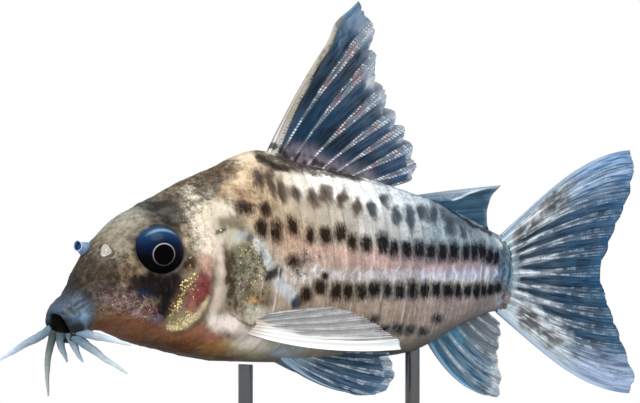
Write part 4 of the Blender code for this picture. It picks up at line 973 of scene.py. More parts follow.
def strokeDistance(a, z, points):  # distance from a line drawn through the points
    nearest = np.full(a.shape, np.inf)
    for start, finish in zip(np.array(points)[:-1], np.array(points)[1:]):
        way = finish - start
        spot = np.stack([a, z], axis=-1) - start
        share = np.clip(spot @ way / (way @ way), 0, 1)
        nearest = np.minimum(nearest, np.linalg.norm(spot - share[..., None] * way, axis=-1))
    return nearest


def paintSkin(base, ringStation, seamHighlightAndShade, plateNumber, plateShare, onPlate, lipMask):
    a, b, z = base[..., 0], base[..., 1], base[..., 2]
    wanderA = a + 0.14 * ripple(base, 2.2, 11) + 0.05 * ripple(base, 0.9, 12)
    wanderZ = z + 0.14 * ripple(base, 2.2, 13) + 0.05 * ripple(base, 0.9, 14)
    toothed = wanderZ - 0.3 * (plateShare - 0.5) * onPlate  # plates interlock where bands meet
    trunk = smooth((a - 20.0) / 4.0)
    paint = np.broadcast_to(hexColour("#80735f"), base.shape).copy()
    paint = coat(paint, trunk, "#bdb2a2")
    for line, half, soft, strength, colours in bands.values():
        stations, heights = zip(*line)
        marks, codes = zip(*colours)
        tint = np.stack([np.interp(a, marks, channel) for channel in np.array([hexColour(c) for c in codes]).T], axis=-1)
        off = np.abs(toothed - np.interp(a, stations, heights)) / half
        paint = coat(paint, strength * trunk * smooth((1 - off) / soft), tint)
    breakUp = 0.06 * ripple(base, 0.6, 15) + 0.09 * ripple(base, 1.3, 16)
    for at, half, lean, code, strength, soft in patches.values():
        out = leaningOval(wanderA, wanderZ, at, half, lean) + breakUp
        paint = coat(paint, strength * smooth((1 + 0.5 * soft - out) / (soft + 0.15)), code)
    for line, half, code, strength, soft in strokes.values():
        off = strokeDistance(wanderA, wanderZ, line) / half + breakUp
        paint = coat(paint, strength * smooth((1 + 0.6 * soft - off) / (soft + 0.3)), code)
    # The inside of the mouth is painted near black: painted shade in the mouth's opening.
    inside = smooth((0.52 - np.arange(base.shape[0]) / body["lipRings"]) / 0.1)[:, None]
    paint = coat(paint, inside * np.ones_like(a), "#08080a")

    draw = np.random.default_rng(21)
    tones = draw.normal(0, 0.05, (len(plates["centres"]) + 1, 2))
    tone = np.where(z > 20.6, tones[plateNumber, 0], tones[plateNumber, 1]) * onPlate
    paint = paint * (1 + tone[..., None])
    # A pale upright streak above each spot of the lower row.
    for at in [at for at in spotRows["lower"][1] if at[3] > 0.5]:
        out = leaningOval(wanderA, z, (at[0] - 0.35, at[1] + 1.75), (0.2, 1.0), -8)
        paint = coat(paint, 0.5 * smooth((1.3 - out) / 0.8), "#e6e9f2")

    spots = np.zeros_like(a)
    other = smooth((b + 1) / 2)  # the far side's marks are its own
    for solid, places in spotRows.values():
        for at in places:
            shift = draw.uniform(-0.25, 0.25, 2)
            lean = draw.uniform(-10, 10)
            out = leaningOval(0.5 * (wanderA + a) - shift[0] * other, 0.5 * (wanderZ + z) - shift[1] * other,
                              at[:2], (1.08 * at[2], at[3]), lean, 2.6)
            spots = np.maximum(spots, solid * np.clip(1.12 - 0.66 * out**1.4, 0, 1))
            if solid < 0.6:  # a faint spot is a cluster of upright smears
                for _ in range(6):
                    off = draw.normal(0, (0.38, 0.36)) * at[2:]
                    size = draw.uniform((0.45, 0.5), (0.75, 0.9)) * at[2:]
                    out = leaningOval(wanderA - other * shift[0], z - other * shift[1], at[:2] + off, size, draw.uniform(-8, 12))
                    strength = draw.uniform(0.45, 0.85) * smooth((1.45 - out) / 0.75)
                    paint = coat(paint, strength, "#51443a" if at[0] < 36 else "#414c55")
    pepper, glints, marbles, worms = (np.zeros_like(a) for _ in range(4))
    for field, zones in ((pepper, peppered), (glints, glinting), (marbles, marbled), (worms, squiggled)):
        for at, half, lean, density in zones.values():
            out = leaningOval(wanderA, wanderZ, at, half, lean)
            np.maximum(field, density * smooth((1.1 - out) / 0.5), out=field)
    low = smooth((16.0 - z) / 1.0) * onPlate
    values = {
        "spots": spots, "pepper": pepper, "glints": glints, "seamHighlightAndShade": np.clip(seamHighlightAndShade, -1, 1),
        "marbled": marbles, "worms": worms, "station": ringStation, "streaks": (1.1 + 0.2 * low) * onPlate * smooth((z - 12.6) / 2.0) * (1 - 0.45 * smooth((z - 24.3) / 2.0))
        * (1 - smooth((25.5 - a) / 2.5) * smooth((16.0 - z) / 1.5)),  # none on the soft flesh round the fin's root
    }
    return values, np.clip(paint, 0, 1)


# ---- fins ----
finShape = {
    "skin": 0.07,  # half thicknesses, in millimetres
    "ray": 0.13,
    "edge": 0.05,
    "rayHalf": (0.15, 0.09),  # half width of a ray at its root and tip
    "columnsPerRay": 18,
    "rows": 110,
}

fins = {
    "dorsal_fin": {
        "nodes": ("dorsal_fin",), "back": (26.3, 37.4), "sunk": 1.4, "bow": ((-0.6, 0, 0.4), (0, 0, -0.3)),
        "tipBulge": (-0.55, 0, 0.2),
        "spine": 0.42, "root": 0.45, "notch": 0.07, "slot": "fins",
        "tips": ((37.1, 0, 50.1), (38.9, 0, 47.3), (39.2, 0, 43.9), (40.2, 0, 40.2), (41.3, 0, 37.8),
                 (42.3, 0, 36.2), (43.2, 0, 34.2), (43.8, 0, 31.9), (43.1, 0, 30.3)),
    },
    "adipose_fin": {
        "nodes": ("adipose_fin",), "back": (41.8, 51.4), "sunk": 1.0, "bow": ((0, 0, 0.12), (0, 0, 0)),
        "spine": 0.4, "root": 0.4, "notch": 0.0, "slot": "fins",
        "tips": ((53.2, 0, 29.8), (52.1, 0, 28.6), (51.6, 0, 27.0), (51.6, 0, 25.6), (51.8, 0, 24.8)),
    },
    "tail_fin": {
        "nodes": ("tail_fin_upper", "tail_fin_lower"), "line": ((53.2, 0, 24.3), (52.7, 0, 15.7)),
        "bow": None, "late": 0.5, "spine": 0.32, "root": 0.6, "notch": 0.02, "slot": "fins",
        "tips": ((67.6, 0, 33.7), (68.1, 0, 31.6), (67.6, 0, 28.7), (66.7, 0, 26.6), (65.8, 0, 24.6),
                 (65.1, 0, 22.6), (64.3, 0, 20.3), (64.9, 0, 17.8), (65.6, 0, 15.6), (66.4, 0, 13.6),
                 (67.1, 0, 11.6), (68.2, 0, 8.6), (67.6, 0, 6.75)),
    },
    "anal_fin": {
        "nodes": ("anal_fin",), "belly": (45.0, 51.2), "sunk": 1.0, "bow": ((-0.3, 0, -1.1), (0, 0, 0)),
        "spine": 0.35, "root": 0.4, "notch": 0.035, "slot": "fins",
        "tips": ((51.3, 0, 6.6), (52.9, 0, 6.5), (53.2, 0, 8.7), (52.8, 0, 10.6), (52.9, 0, 12.0),
                 (53.1, 0, 13.4), (53.0, 0, 14.6)),
    },
    "pelvic_fin_left": {
        "nodes": ("pelvic_fin_left",), "line": ((26.3, -3.0, 11.3), (30.2, -2.6, 11.6)),
        "bow": ((0, 0, -0.7), (0, 0, 0)), "spine": 0.35, "root": 0.4, "notch": 0.025, "slot": "fins",
        "tips": ((34.2, -5.0, 7.1), (36.8, -5.3, 6.75), (38.9, -5.2, 7.4), (39.9, -4.9, 8.9),
                 (39.7, -4.5, 10.3), (39.4, -4.3, 11.4)),
    },
    "pelvic_fin_right": {
        "nodes": ("pelvic_fin_right",), "line": ((26.8, 3.0, 11.4), (30.2, 2.6, 11.6)),
        "bow": ((0, 0, -0.7), (0, 0, 0)), "spine": 0.35, "root": 0.4, "notch": 0.025, "slot": "fins",
        "tips": ((35.6, 5.6, 8.4), (37.8, 6.0, 8.2), (39.6, 6.2, 8.9), (40.4, 6.2, 10.0),
                 (40.0, 6.1, 11.0), (39.5, 6.0, 11.9)),
    },
    "pectoral_fin_right": {
        "nodes": ("pectoral_fin_right",), "line": ((18.9, 5.9, 14.2), (21.4, 6.0, 15.3)),
        "bow": ((0, 0.9, -1.0), (0, 0.8, 0.2)), "spine": 0.5, "root": 0.4, "notch": 0.015,
        "fold": 0.04, "slot": "pale_fins",
        "tips": ((39.6, 8.6, 11.85), (39.3, 8.7, 12.9), (38.2, 8.7, 13.6), (36.8, 8.6, 14.5),
                 (35.2, 8.6, 15.3), (33.4, 8.6, 16.0), (31.2, 8.6, 16.5), (29.2, 8.5, 16.3)),
    },
}

# Each fin's colours, and: how clear the membrane is, where its root colour ends and its edge
# colour starts, how strongly rays are jointed, where they fork (share of the length, then shares
# of the gap), and how bright the bands round the rays, the fine streaks and the rays are.
finLooks = {
    "dorsal_fin": {
        "membrane": "#04233a", "root": "#8f8a99", "edge": "#8ea0b8", "ray": "#bccbd8", "spine": "#cdc8ba",
        "spineTip": "#6f95ba", "patch": "#a0706a", "spineWidth": (1.15, 0.5), "foot": 0.5, "bars": 0.7, "clear": 0.06, "rootEnd": 2.7,
        "rootSoft": 2.4, "edgeStart": 0.82, "joints": 0.9, "forkAt": 0.34, "fork": 0.13, "twig": 0.05, "band": (0.15, 0.6), "bandHalf": (0.08, 0.2),
        "streak": (0.0, 0.12), "bright": (0.95, 0.85),
    },
    "adipose_fin": {
        "membrane": "#2f566f", "root": "#233b4b", "edge": "#7793a8", "ray": "#5d8097", "spine": "#b4c6d8",
        "spineTip": "#a9bccd", "patch": "#3c4c58", "spineWidth": (0.5, 0.4), "clear": 0.0, "rootEnd": 1.6,
        "edgeStart": 0.9, "joints": 0.0, "forkAt": 2.0, "fork": 0.0, "twig": 0.0, "band": (0.3, 0.2), "bandHalf": (0.2, 0.2),
        "streak": (0.1, 0.25), "bright": (0.0, 0.0),
    },
    "tail_fin": {
        "membrane": "#03304e", "root": "#d6edf3", "edge": "#245c84", "ray": "#cfe0f0", "spine": "#b4cbe3",
        "spineTip": "#86a6cc", "patch": "#3d5068", "spineWidth": (0.5, 0.35), "clear": 0.03, "rootEnd": 1.8,
        "edgeStart": 0.85, "joints": 0.35, "forkAt": 0.3, "fork": 0.16, "twig": 0.07, "band": (1.0, 0.2), "bandHalf": (0.34, 0.1),
        "streak": (0.04, 0.2), "bright": (0.95, 0.35),
    },
    "anal_fin": {
        "membrane": "#155f85", "root": "#5ba2c8", "edge": "#6d879f", "ray": "#cfe3ef", "spine": "#8fc2e6",
        "spineTip": "#6d9dbd", "patch": "#5c6a74", "spineWidth": (0.45, 0.35), "clear": 0.12, "rootEnd": 1.8,
        "edgeStart": 0.75, "joints": 0.25, "forkAt": 0.4, "fork": 0.13, "twig": 0.06, "band": (0.7, 0.4), "bandHalf": (0.2, 0.2),
        "streak": (0.15, 0.5), "bright": (0.9, 0.4),
    },
    "pelvic_fin_left": {
        "membrane": "#054a72", "root": "#a3c6e0", "edge": "#2a6d9a", "ray": "#d3e9fb", "spine": "#c0dff7",
        "spineTip": "#8fb4d0", "patch": "#4a6a80", "spineWidth": (0.75, 0.45), "clear": 0.08, "rootEnd": 2.6, "rootSoft": 3.4,
        "edgeStart": 0.85, "joints": 0.4, "forkAt": 0.35, "fork": 0.13, "twig": 0.06, "band": (0.55, 0.1), "bandHalf": (0.15, 0.1),
        "streak": (0.35, 0.12), "bright": (0.95, 0.7),
    },
    "pectoral_fin_right": {
        "membrane": "#b5b4b5", "root": "#cbc8b8", "edge": "#a5a4ae", "ray": "#d5d8dc", "spine": "#ffffff",
        "spineTip": "#f4f8fa", "patch": "#b4b4ba", "spineWidth": (2.3, 1.55), "clear": 0.15, "rootEnd": 3.0, "rootSoft": 3.0,
        "edgeStart": 0.9, "joints": 0.1, "forkAt": 0.45, "fork": 0.12, "twig": 0.0, "band": (0.25, 0.4), "bandHalf": (0.2, 0.2),
        "streak": (0.12, 0.26), "bright": (0.35, 0.55),
    },
}
finLooks["pelvic_fin_right"] = finLooks["pelvic_fin_left"]
finLooks["pectoral_fin_left"] = finLooks["pectoral_fin_right"]
# The spine of the adipose fin, as (a, z).
adiposeSpine = ((41.0, 28.3), (46.9, 28.15), (47.8, 28.17), (48.7, 28.5), (49.6, 28.94), (50.8, 29.35), (51.9, 29.6), (53.2, 29.8))
# White streaked zones and dark blotches on the tail: centre (a, z), half size, lean, strength.
tailStreaks = {
    "upper": ((57.4, 26.8), (3.4, 1.4), 41, 0.9),
    "lower": ((57.6, 14.3), (4.4, 1.6), -39, 0.9),
}
tailBlotches = {
    "upper": ((59.2, 28.1), (2.1, 1.0), 42, 0.8),
    "upperRoot": ((56.3, 25.1), (1.6, 1.1), 48, 0.9),
    "lower": ((56.3, 14.8), (1.6, 1.0), -42, 0.85),
    "lowerOuter": ((58.6, 13.1), (1.4, 0.9), -42, 0.8),
    "lowerFar": ((61.4, 11.0), (0.7, 0.4), -40, 0.35),
}


def rayRoots(fin):
    count = len(fin["tips"])
    if "line" in fin:
        return np.linspace(*fin["line"], count)
    angle, column = (math.pi / 2, 0) if "back" in fin else (-math.pi / 2, 2)
    stations = np.linspace(*(fin["back"] if "back" in fin else fin["belly"]), count)
    places = np.interp(stations, fineRows[:, column], finePlaces)
    point, normal = skinAt(places, np.full(count, angle))
    return point - fin["sunk"] * normal


def rayArches(fin):
    count = len(fin["tips"])
    if fin["bow"] is not None:
        return np.linspace(*fin["bow"], count)
    # The tail: its outer rays bow outwards, the middle ones are straight.
    share = np.linspace(1, -1, count)[:, None]
    return np.abs(share) * [-0.4, 0, 0] + share * [0, 0, 1.5]


def buildFin(name, fin, look, material, side=1):
    tips = np.array(fin["tips"], float)
    rays, rows, fine = len(tips), finShape["rows"], finShape["columnsPerRay"]
    columns = np.arange((rays - 1) * fine + 1) / fine
    flip = np.array([1, side, 1])
    root, tip, arch = (between(part * flip, columns) for part in (rayRoots(fin), tips, rayArches(fin)))
    nearest = np.round(columns)
    aside = np.abs(columns - nearest)
    along = np.linspace(0, 1, rows)[:, None]
    # The margin: a shallow notch between rays, and a fringe of small uneven lobes.
    lanes = np.stack([columns, columns * 0, columns * 0], -1)
    fringe = (0.012 * ripple(lanes, 0.13, 3) + 0.012 * ripple(lanes, 0.5, 4)) * min(fin["notch"] / 0.05, 1)
    notch = fin["notch"] * (0.3 + 0.7 * smooth(columns - 0.5))  # shallow beside the leading spine
    reach = 1 - notch * (2 * aside) ** 1.7 + np.minimum(fringe, 0)
    t = (along * reach)[..., None]
    late = fin.get("late", 0)  # how far the arch's fullest place moves from halfway to two thirds
    middle = root + (tip - root) * t + arch * t * (1 - t) * (4 + late * (6.75 * t - 4))
    if "tipBulge" in fin:  # soft skin that rounds the leading edge just before the tip
        middle = middle + np.exp(-(((t - 0.85) / 0.08) ** 2) - 1.5 * columns[:, None]) * fin["tipBulge"]
    normal = np.cross(np.gradient(middle, axis=0), np.gradient(middle, axis=1))
    normal /= np.linalg.norm(normal, axis=-1, keepdims=True)
    # The membrane hangs in a soft fold between rays.
    fold = fin.get("fold", 0.1) * np.cos(2 * math.pi * columns) * smooth(along * 1.6 - 0.3)
    middle = middle + normal * fold[..., None]
    gap = np.linalg.norm(np.gradient(middle, axis=1), axis=-1) * fine  # millimetres from ray to ray
    isTail = name == "tail_fin"
    isSpine = (nearest == 0) | (isTail & (nearest == rays - 1))
    fork = look["fork"] * smooth((along - look["forkAt"]) / 0.35) * ~isSpine
    twig = look["twig"] * smooth((along - look["forkAt"] - 0.3) / 0.25) * ~isSpine
    rayHalf = finShape["rayHalf"][0] + (finShape["rayHalf"][1] - finShape["rayHalf"][0]) * along
    ray = np.exp(-(((aside - fork) * gap / 0.16) ** 2))
    fromEdge = np.minimum(columns, rays - 1 - columns) if isTail else columns
    spineWidth = look["spineWidth"][0] + (look["spineWidth"][1] - look["spineWidth"][0]) * along
    spineWidth = spineWidth * (1 + look.get("foot", 0) * np.exp(-along / 0.07))
    inSpine = np.clip(1 - fromEdge * gap / spineWidth, 0, 1)
    barred = look["joints"] * smooth((0.62 - inSpine) / 0.15) * (inSpine > 0)
    spine = inSpine**0.5
    half = finShape["skin"] + (finShape["edge"] - finShape["skin"]) * along**2
    half = half + (fin["root"] - finShape["skin"]) * np.clip(1 - 3.2 * along, 0, 1) ** 1.5
    half = half + finShape["ray"] * ray * (1 - 0.75 * along)
    half = half + (fin["spine"] - finShape["ray"]) * spine * (1 - along**1.5)
    rim = 1 - smooth((along - 0.985) / 0.015) * 0.7
    out = normal * (half * rim)[..., None]
    points = np.concatenate([(middle + out).reshape(-1, 3), (middle - out).reshape(-1, 3)])

    ones = np.ones_like(gap)
    measured = np.concatenate([np.zeros((1, len(columns))),
                               np.cumsum(np.linalg.norm(np.diff(middle, axis=0), axis=-1), axis=0)])
    band, streak, bandHalf = (
        look[key][0] + (look[key][1] - look[key][0]) * smooth(along * 1.2 - 0.1) for key in ("band", "streak", "bandHalf")
    )
    settled = smooth((along - 0.08) / 0.14)
    values = {
        "spine": smooth(inSpine / 0.25), "along": measured, "lane": columns * ones, "gap": gap, "fork": fork * ones,
        "twig": twig * ones, "rayHalf": rayHalf * ones, "band": band * ones, "streak": streak * ones,
        "bandHalf": bandHalf * ones, "barred": look.get("bars", 0.0) * barred * ones,
        "joints": look["joints"] * settled * ones,
        "bright": (look["bright"][0] + (look["bright"][1] - look["bright"][0]) * along) * (0.35 + 0.65 * settled) * ones,
    }
    paint, rayPaint, spinePaint, values["clear"] = paintFin(name, look, middle, columns, along, values, rays)
    values = {key: np.tile(value.ravel(), 2) for key, value in values.items()}
    colours = {
        key: np.tile(value.reshape(-1, 3), (2, 1))
        for key, value in (("paint", paint), ("rayPaint", rayPaint), ("spinePaint", spinePaint))
    }
    wide = len(columns)
    quads, corners = gridFaces(rows, wide, False)
    other = rows * wide
    size = [2.05 * (wide - 1), rows - 1]
    rimPath = np.concatenate([
        np.arange(wide), np.arange(1, rows) * wide + wide - 1,
        (rows - 1) * wide + np.arange(wide - 2, -1, -1), np.arange(rows - 2, 0, -1) * wide,
    ])
    following = np.roll(rimPath, -1)
    rimFaces = np.column_stack([rimPath, other + rimPath, other + following, following])
    rimPlace = np.column_stack([rimPath % wide, rimPath // wide]) / size
    rimNext = np.roll(rimPlace, -1, axis=0)
    rimUv = np.stack([rimPlace, rimPlace + 1e-4, rimNext + 1e-4, rimNext], axis=1)
    faces = [quads, other + quads[:, ::-1], rimFaces]
    uvs = [corners / size, corners[:, ::-1] / size + [0.51, 0], rimUv]
    piece = meshPiece(name + "_skin", bend(points), faces, uvs, material, values, colours)
    place(piece, fin["slot"], *(fin["nodes"] if side == 1 else (name,)))


def paintFin(name, look, middle, columns, along, values, rays):
    shape = middle.shape[:2]
    ones = np.ones(shape)
    share = columns / (rays - 1) * ones  # 0 at the leading edge
    t = along * ones
    soft = 0.05 * ripple(middle, 2.4, 31) + 0.03 * ripple(middle, 0.8, 32)
    aside = np.abs(columns - np.round(columns)) * ones
    paint = np.broadcast_to(hexColour(look["membrane"]), (*shape, 3)).copy()
    edge = smooth((t + soft * 0.5 + 0.1 * (0.5 - aside) - look["edgeStart"]) / (1.02 - look["edgeStart"]))
    paint = coat(paint, 0.85 * edge, look["edge"])
    rayPaint = np.broadcast_to(hexColour(look["ray"]), (*shape, 3)).copy()
    draw = np.random.default_rng(7 + len(name))
    inside = smooth((values["fork"] + 0.06 - aside) / 0.05)
    for number in range(rays):  # each ray has patches where its pigment shows between the branches
        near = np.abs(columns - number) < 0.5
        for spot in (draw.uniform(0.3, 0.42), draw.uniform(0.5, 0.62), draw.uniform(0.72, 0.85)):
            mask = near * inside * np.exp(-(((t - spot) / 0.05) ** 2)) * draw.uniform(0.3, 1.0)
            rayPaint = coat(rayPaint, 0.9 * mask, look["patch"])
            paint = coat(paint, 0.8 * mask, look["patch"])
    rootEnd = look["rootEnd"]
    if name == "tail_fin":
        rootEnd = rootEnd + 1.8 * smooth((np.abs(share - 0.5) * 2 - 0.25) / 0.75)
    rootZone = smooth((rootEnd - values["along"] + 8 * soft) / look.get("rootSoft", 0.9) + 0.5)
    paint, rayPaint = coat(paint, rootZone, look["root"]), coat(rayPaint, 0.6 * rootZone, look["root"])
    spinePaint = np.broadcast_to(hexColour(look["spine"]), (*shape, 3)).copy()
    spinePaint = coat(spinePaint, smooth((t - 0.78) / 0.14), look["spineTip"])
    clear = look["clear"] * (0.3 + 0.7 * smooth((t - 0.3) / 0.5)) + 0.5 * smooth((t + soft - 0.9) / 0.1) * (look["clear"] > 0.04)
    if name == "tail_fin":
        outer = np.abs(share - 0.5) * 2  # the outer rays are pale, white towards the root
        low = (share > 0.5)[..., None]
        lanes = np.stack([columns * ones, 0.35 * values["along"], ones], -1)
        patchy = smooth(0.5 + 0.8 * ripple(lanes, 0.9, 41))
        lobe, tipward = smooth((outer - 0.62) / 0.3), smooth((t - 0.45) / 0.25)
        paint = coat(paint, 0.5 * smooth((0.42 - t) / 0.25) * (1 - lobe), "#04202f")
        paint = coat(paint, 0.3 * smooth(0.2 + ripple(lanes, 0.9, 47)) * tipward * (1 - lobe), "#2f6a90")
        paint = coat(paint, 0.75 * lobe * tipward, np.where(low, hexColour("#9cb6de"), hexColour("#5f8fc0")))
        paint = coat(paint, 0.65 * lobe * (1 - tipward), "#b9c9d4")
        paint = coat(paint, 0.3 * smooth((0.5 - share) / 0.3) * tipward, "#2c5f92")
        rayPaint = coat(rayPaint, 0.85 * tipward * (1 - 0.8 * outer), "#54809f")
        rayPaint = coat(rayPaint, 0.8 * lobe, "#dbe7f2")
        rayPaint = coat(rayPaint, 0.85 * lobe * tipward, np.where(low, hexColour("#bfd3f2"), hexColour("#a4c4e8")))
        inner = smooth((0.62 - t) / 0.22) * smooth((t - 0.05) / 0.1)
        rayPaint = coat(rayPaint, inner * patchy, "#e6f5ff")
        values["band"] = values["band"] * (1 - (0.75 - 0.75 * patchy) * inner)
        values["streak"] = np.maximum(values["streak"], 0.75 * smooth((outer - 0.55) / 0.3))
        for at, half, lean, strength in tailStreaks.values():
            out = leaningOval(middle[..., 0], middle[..., 2], at, half, lean) + 4 * soft
            mask = strength * smooth((1.3 - out) / 0.8)
            paint, rayPaint = coat(paint, 0.6 * mask, "#9fb4c4"), coat(rayPaint, mask, "#f2f6f8")
            values["streak"] = np.maximum(values["streak"], mask)
        for at, half, lean, strength in tailBlotches.values():
            out = leaningOval(middle[..., 0], middle[..., 2], at, half, lean) + 5 * soft
            mask = strength * smooth((1.4 - out) / 0.9) * smooth(1.2 + 0.8 * ripple(lanes, 0.45, 43))
            paint, rayPaint = coat(paint, mask, "#221c22"), coat(rayPaint, 0.65 * mask, "#5a4c4e")
            values["bright"] = values["bright"] * (1 - 0.5 * mask)
            values["streak"] = values["streak"] * (1 - 0.65 * mask)
    if name.startswith("pectoral"):
        clear = clear + 0.6 * smooth((4.2 - values["along"] + 10 * soft) / 3.0) * smooth((share - 0.12) / 0.2)
        clear = clear + 0.4 * smooth((5.0 - values["along"] + 6 * soft) / 3.0) * smooth((share - 0.12) / 0.2)
        spinePaint = coat(spinePaint, smooth((5.5 - values["along"]) / 3.5), "#dbcec4")
        grown = smooth((values["along"] - 1.5) / 4.0)
        values["bright"], values["band"] = values["bright"] * grown, values["band"] * grown
        for lane, start, end in ((2.3, 1.4, 5.2), (3.2, 1.2, 4.4)):  # rows of dark dashes near the root
            dash = np.exp(-(((columns - lane) * values["gap"] / 0.07) ** 2)) * smooth(3 * np.sin(values["along"] * 7.0) + 0.8)
            dash = dash * smooth((values["along"] - start) / 0.4) * smooth((end - values["along"]) / 0.6)
            paint, rayPaint = coat(paint, 0.9 * dash, "#2b2622"), coat(rayPaint, 0.9 * dash, "#2b2622")
            clear = clear * (1 - dash)
    if name == "adipose_fin":  # a pale fleshy ridge, with the fin's thin spine along its foot
        line = strokeDistance(middle[..., 0], middle[..., 2], adiposeSpine)
        above = middle[..., 2] - np.interp(middle[..., 0], *zip(*adiposeSpine))
        ridge = smooth((above + 2 * soft) / 0.35 + 0.5) * (0.75 + 0.25 * smooth(0.5 + ripple(middle, 0.7, 44)))
        ridge = ridge * smooth((middle[..., 0] - 40) / 2)
        paint, rayPaint = coat(paint, 0.9 * ridge, "#a3b8cf"), coat(rayPaint, 0.9 * ridge, "#bccbdc")
        shade = smooth((0.9 + above) / 0.5) * smooth((0.05 - above) / 0.2)
        paint = coat(paint, 0.4 * shade * smooth((middle[..., 0] - 47.5) / 1.0), "#17384c")
        bright = smooth((0.16 - line) / 0.08) * smooth((middle[..., 0] - 47.4) / 0.5)
        paint, rayPaint = coat(paint, 0.85 * bright, "#dfe9f3"), coat(rayPaint, 0.85 * bright, "#dfe9f3")
    if name == "anal_fin":
        grey = smooth((share - 0.35) / 0.3)
        paint, rayPaint = coat(paint, grey, "#566473"), coat(rayPaint, 0.7 * grey, "#a0abb6")
        clear = clear + 0.12 * grey
    if name == "dorsal_fin":
        # A dark line behind the spine, and blue where the membrane thins.
        line = look["spineWidth"][0] + (look["spineWidth"][1] - look["spineWidth"][0]) * t
        line = line * (1 + look["foot"] * np.exp(-t / 0.07))
        behind = np.exp(-(((columns * values["gap"] - line) / 0.13) ** 2))
        low = smooth((3.4 + 0.4 * smooth((share - 0.1) / 0.3) - values["along"] + 5 * soft) / 2.4 + 0.5)
        paint = coat(paint, 0.8 * low, "#8b8594")
        rayPaint = coat(rayPaint, 0.5 * low, "#a49eb0")
        blue = smooth(0.5 + ripple(middle, 3.0, 35)) * smooth((t - 0.05) / 0.2)
        paint = coat(paint, 0.4 * blue * (1 - low), "#114a70")
        spinePaint = coat(spinePaint, smooth((0.3 - t) / 0.2), "#e2e2de")
        spinePaint = coat(spinePaint, 0.6 * smooth(ripple(middle, 1.3, 37)) * smooth((t - 0.3) / 0.2), "#83705a")
        bloom = smooth((t - 0.78 + soft) / 0.16) * smooth((0.15 - share) / 0.14)  # a blue bloom at the fin's tip
        paint, rayPaint = coat(paint, 0.8 * bloom, "#4f7ca6"), coat(rayPaint, 0.6 * bloom, "#8fb2d2")
        values["streak"] = np.maximum(values["streak"], 0.5 * bloom)
        clear = clear * (1 - 0.7 * bloom)
        spinePaint = coat(spinePaint, 0.9 * behind, "#2a2824")
        paint = coat(paint, 0.8 * behind, "#2a2824")
        paint = coat(paint, 0.45 * smooth((share - 0.2) / 0.6) * smooth((t - 0.4) / 0.4), "#2a5078")
        paint = coat(paint, 0.6 * smooth((0.16 - share) / 0.1) * smooth((0.5 - t) / 0.3), "#4d6c8c")
        # Brown pigment creeps up the foot of the fin from the back.
        foot = smooth((3.1 - 0.5 * share - values["along"] + 6 * soft) / 0.8) * smooth(0.7 + 1.1 * ripple(middle, 1.0, 36))
        paint, rayPaint, spinePaint = (coat(part, 0.85 * foot, "#33261f") for part in (paint, rayPaint, spinePaint))
    return paint, rayPaint, spinePaint, np.clip(clear, 0, 1.0 if name.startswith("pectoral") else 0.7)


# ---- eyes, barbels, nostrils ----
eyeLook = {
    "pupil": 0.43,  # share of the visible radius
    "ring": 0.013,
    "gaze": (-0.03, 0.0, -0.45),  # added to the outward direction: forward and down
    "irisTopAndReflection": "#1e446c", "iris": "#08162e", "irisLow": "#030408", "ringColour": "#e3d3d2", "rimColour": "#8b8288",
}


def buildEye(side, socket, material):
    centre, out = socket
    gaze = out + np.array(eyeLook["gaze"])
    gaze /= np.linalg.norm(gaze)
    radius = eyeShape["radius"]
    up = np.array([0, 0, 1.0]) - gaze[2] * gaze
    up /= np.linalg.norm(up)
    across = np.cross(up, gaze)
    rows, columns = 72, 96
    polar = np.concatenate([np.linspace(0.02, math.pi / 2, rows - 8), np.linspace(math.pi / 2 + 0.1, math.pi - 0.05, 8)])
    turn = np.linspace(0, 2 * math.pi, columns, endpoint=False)
    share = np.sin(polar)[:, None]  # distance from the middle of the eye, seen along the gaze
    front = polar[:, None] < math.pi / 2
    bulge = np.where(front & (share < eyeLook["pupil"]), 0.06 * (1 - (share / eyeLook["pupil"]) ** 2), 0.0)
    size = radius * (1 + bulge * 0.2) * np.ones((rows, columns))
    points = centre + size[..., None] * (
        np.cos(polar)[:, None, None] * gaze
        + np.sin(polar)[:, None, None] * (np.cos(turn)[None, :, None] * up + np.sin(turn)[None, :, None] * across)
    )
    shape = (rows, columns)
    height = (points[..., 2] - centre[2]) / radius
    paint = np.broadcast_to(hexColour(eyeLook["iris"]), (*shape, 3)).copy()
    # The top of the iris is a lighter blue, partly its own colour and partly a painted reflection.
    paint = coat(paint, 0.9 * smooth((height - 0.1) / 0.8) * smooth((share - 0.4) / 0.4), eyeLook["irisTopAndReflection"])
    paint = coat(paint, smooth((0.2 - height) / 0.5), eyeLook["irisLow"])
    rear = (points[..., 0] - centre[0]) / radius
    paint = coat(paint, 0.7 * smooth((share - 0.86) / 0.08) * smooth((rear - 0.05 - 0.5 * height) / 0.6), eyeLook["rimColour"])
    # A painted reflection: a pale arc near the top edge of the eye.
    paint = coat(paint, 0.6 * np.exp(-(((share - 0.9) / 0.04) ** 2)) * smooth((height - 0.55) / 0.3), "#a9c3d6")
    ring = np.exp(-(((share - eyeLook["pupil"]) / eyeLook["ring"]) ** 2)) * front
    paint = coat(paint, np.clip(ring * (0.55 + 0.45 * np.cos(turn)), 0, 1), eyeLook["ringColour"])
    paint = coat(paint, smooth((eyeLook["pupil"] - 0.02 - share) / 0.02) * front * np.ones(shape), "#020204")
    flat = np.vstack([points.reshape(-1, 3), centre + radius * 1.012 * gaze, centre - radius * gaze])
    colour = np.vstack([paint.reshape(-1, 3), [hexColour("#020204")] * 2])
    quads, corners = gridFaces(rows, columns, True)
    around = np.arange(columns)
    following = (around + 1) % columns
    last = (rows - 1) * columns
    fans = np.vstack([
        np.column_stack([np.full(columns, rows * columns), following, around]),
        np.column_stack([np.full(columns, rows * columns + 1), last + around, last + following]),
    ])
    piece = meshPiece("eyeball_" + side, bend(flat), [quads, fans], [corners / [columns, rows], np.full((2 * columns, 3, 2), 0.001)],
                      material, None, {"paint": colour})
    place(piece, "eyes", "eye_" + side)


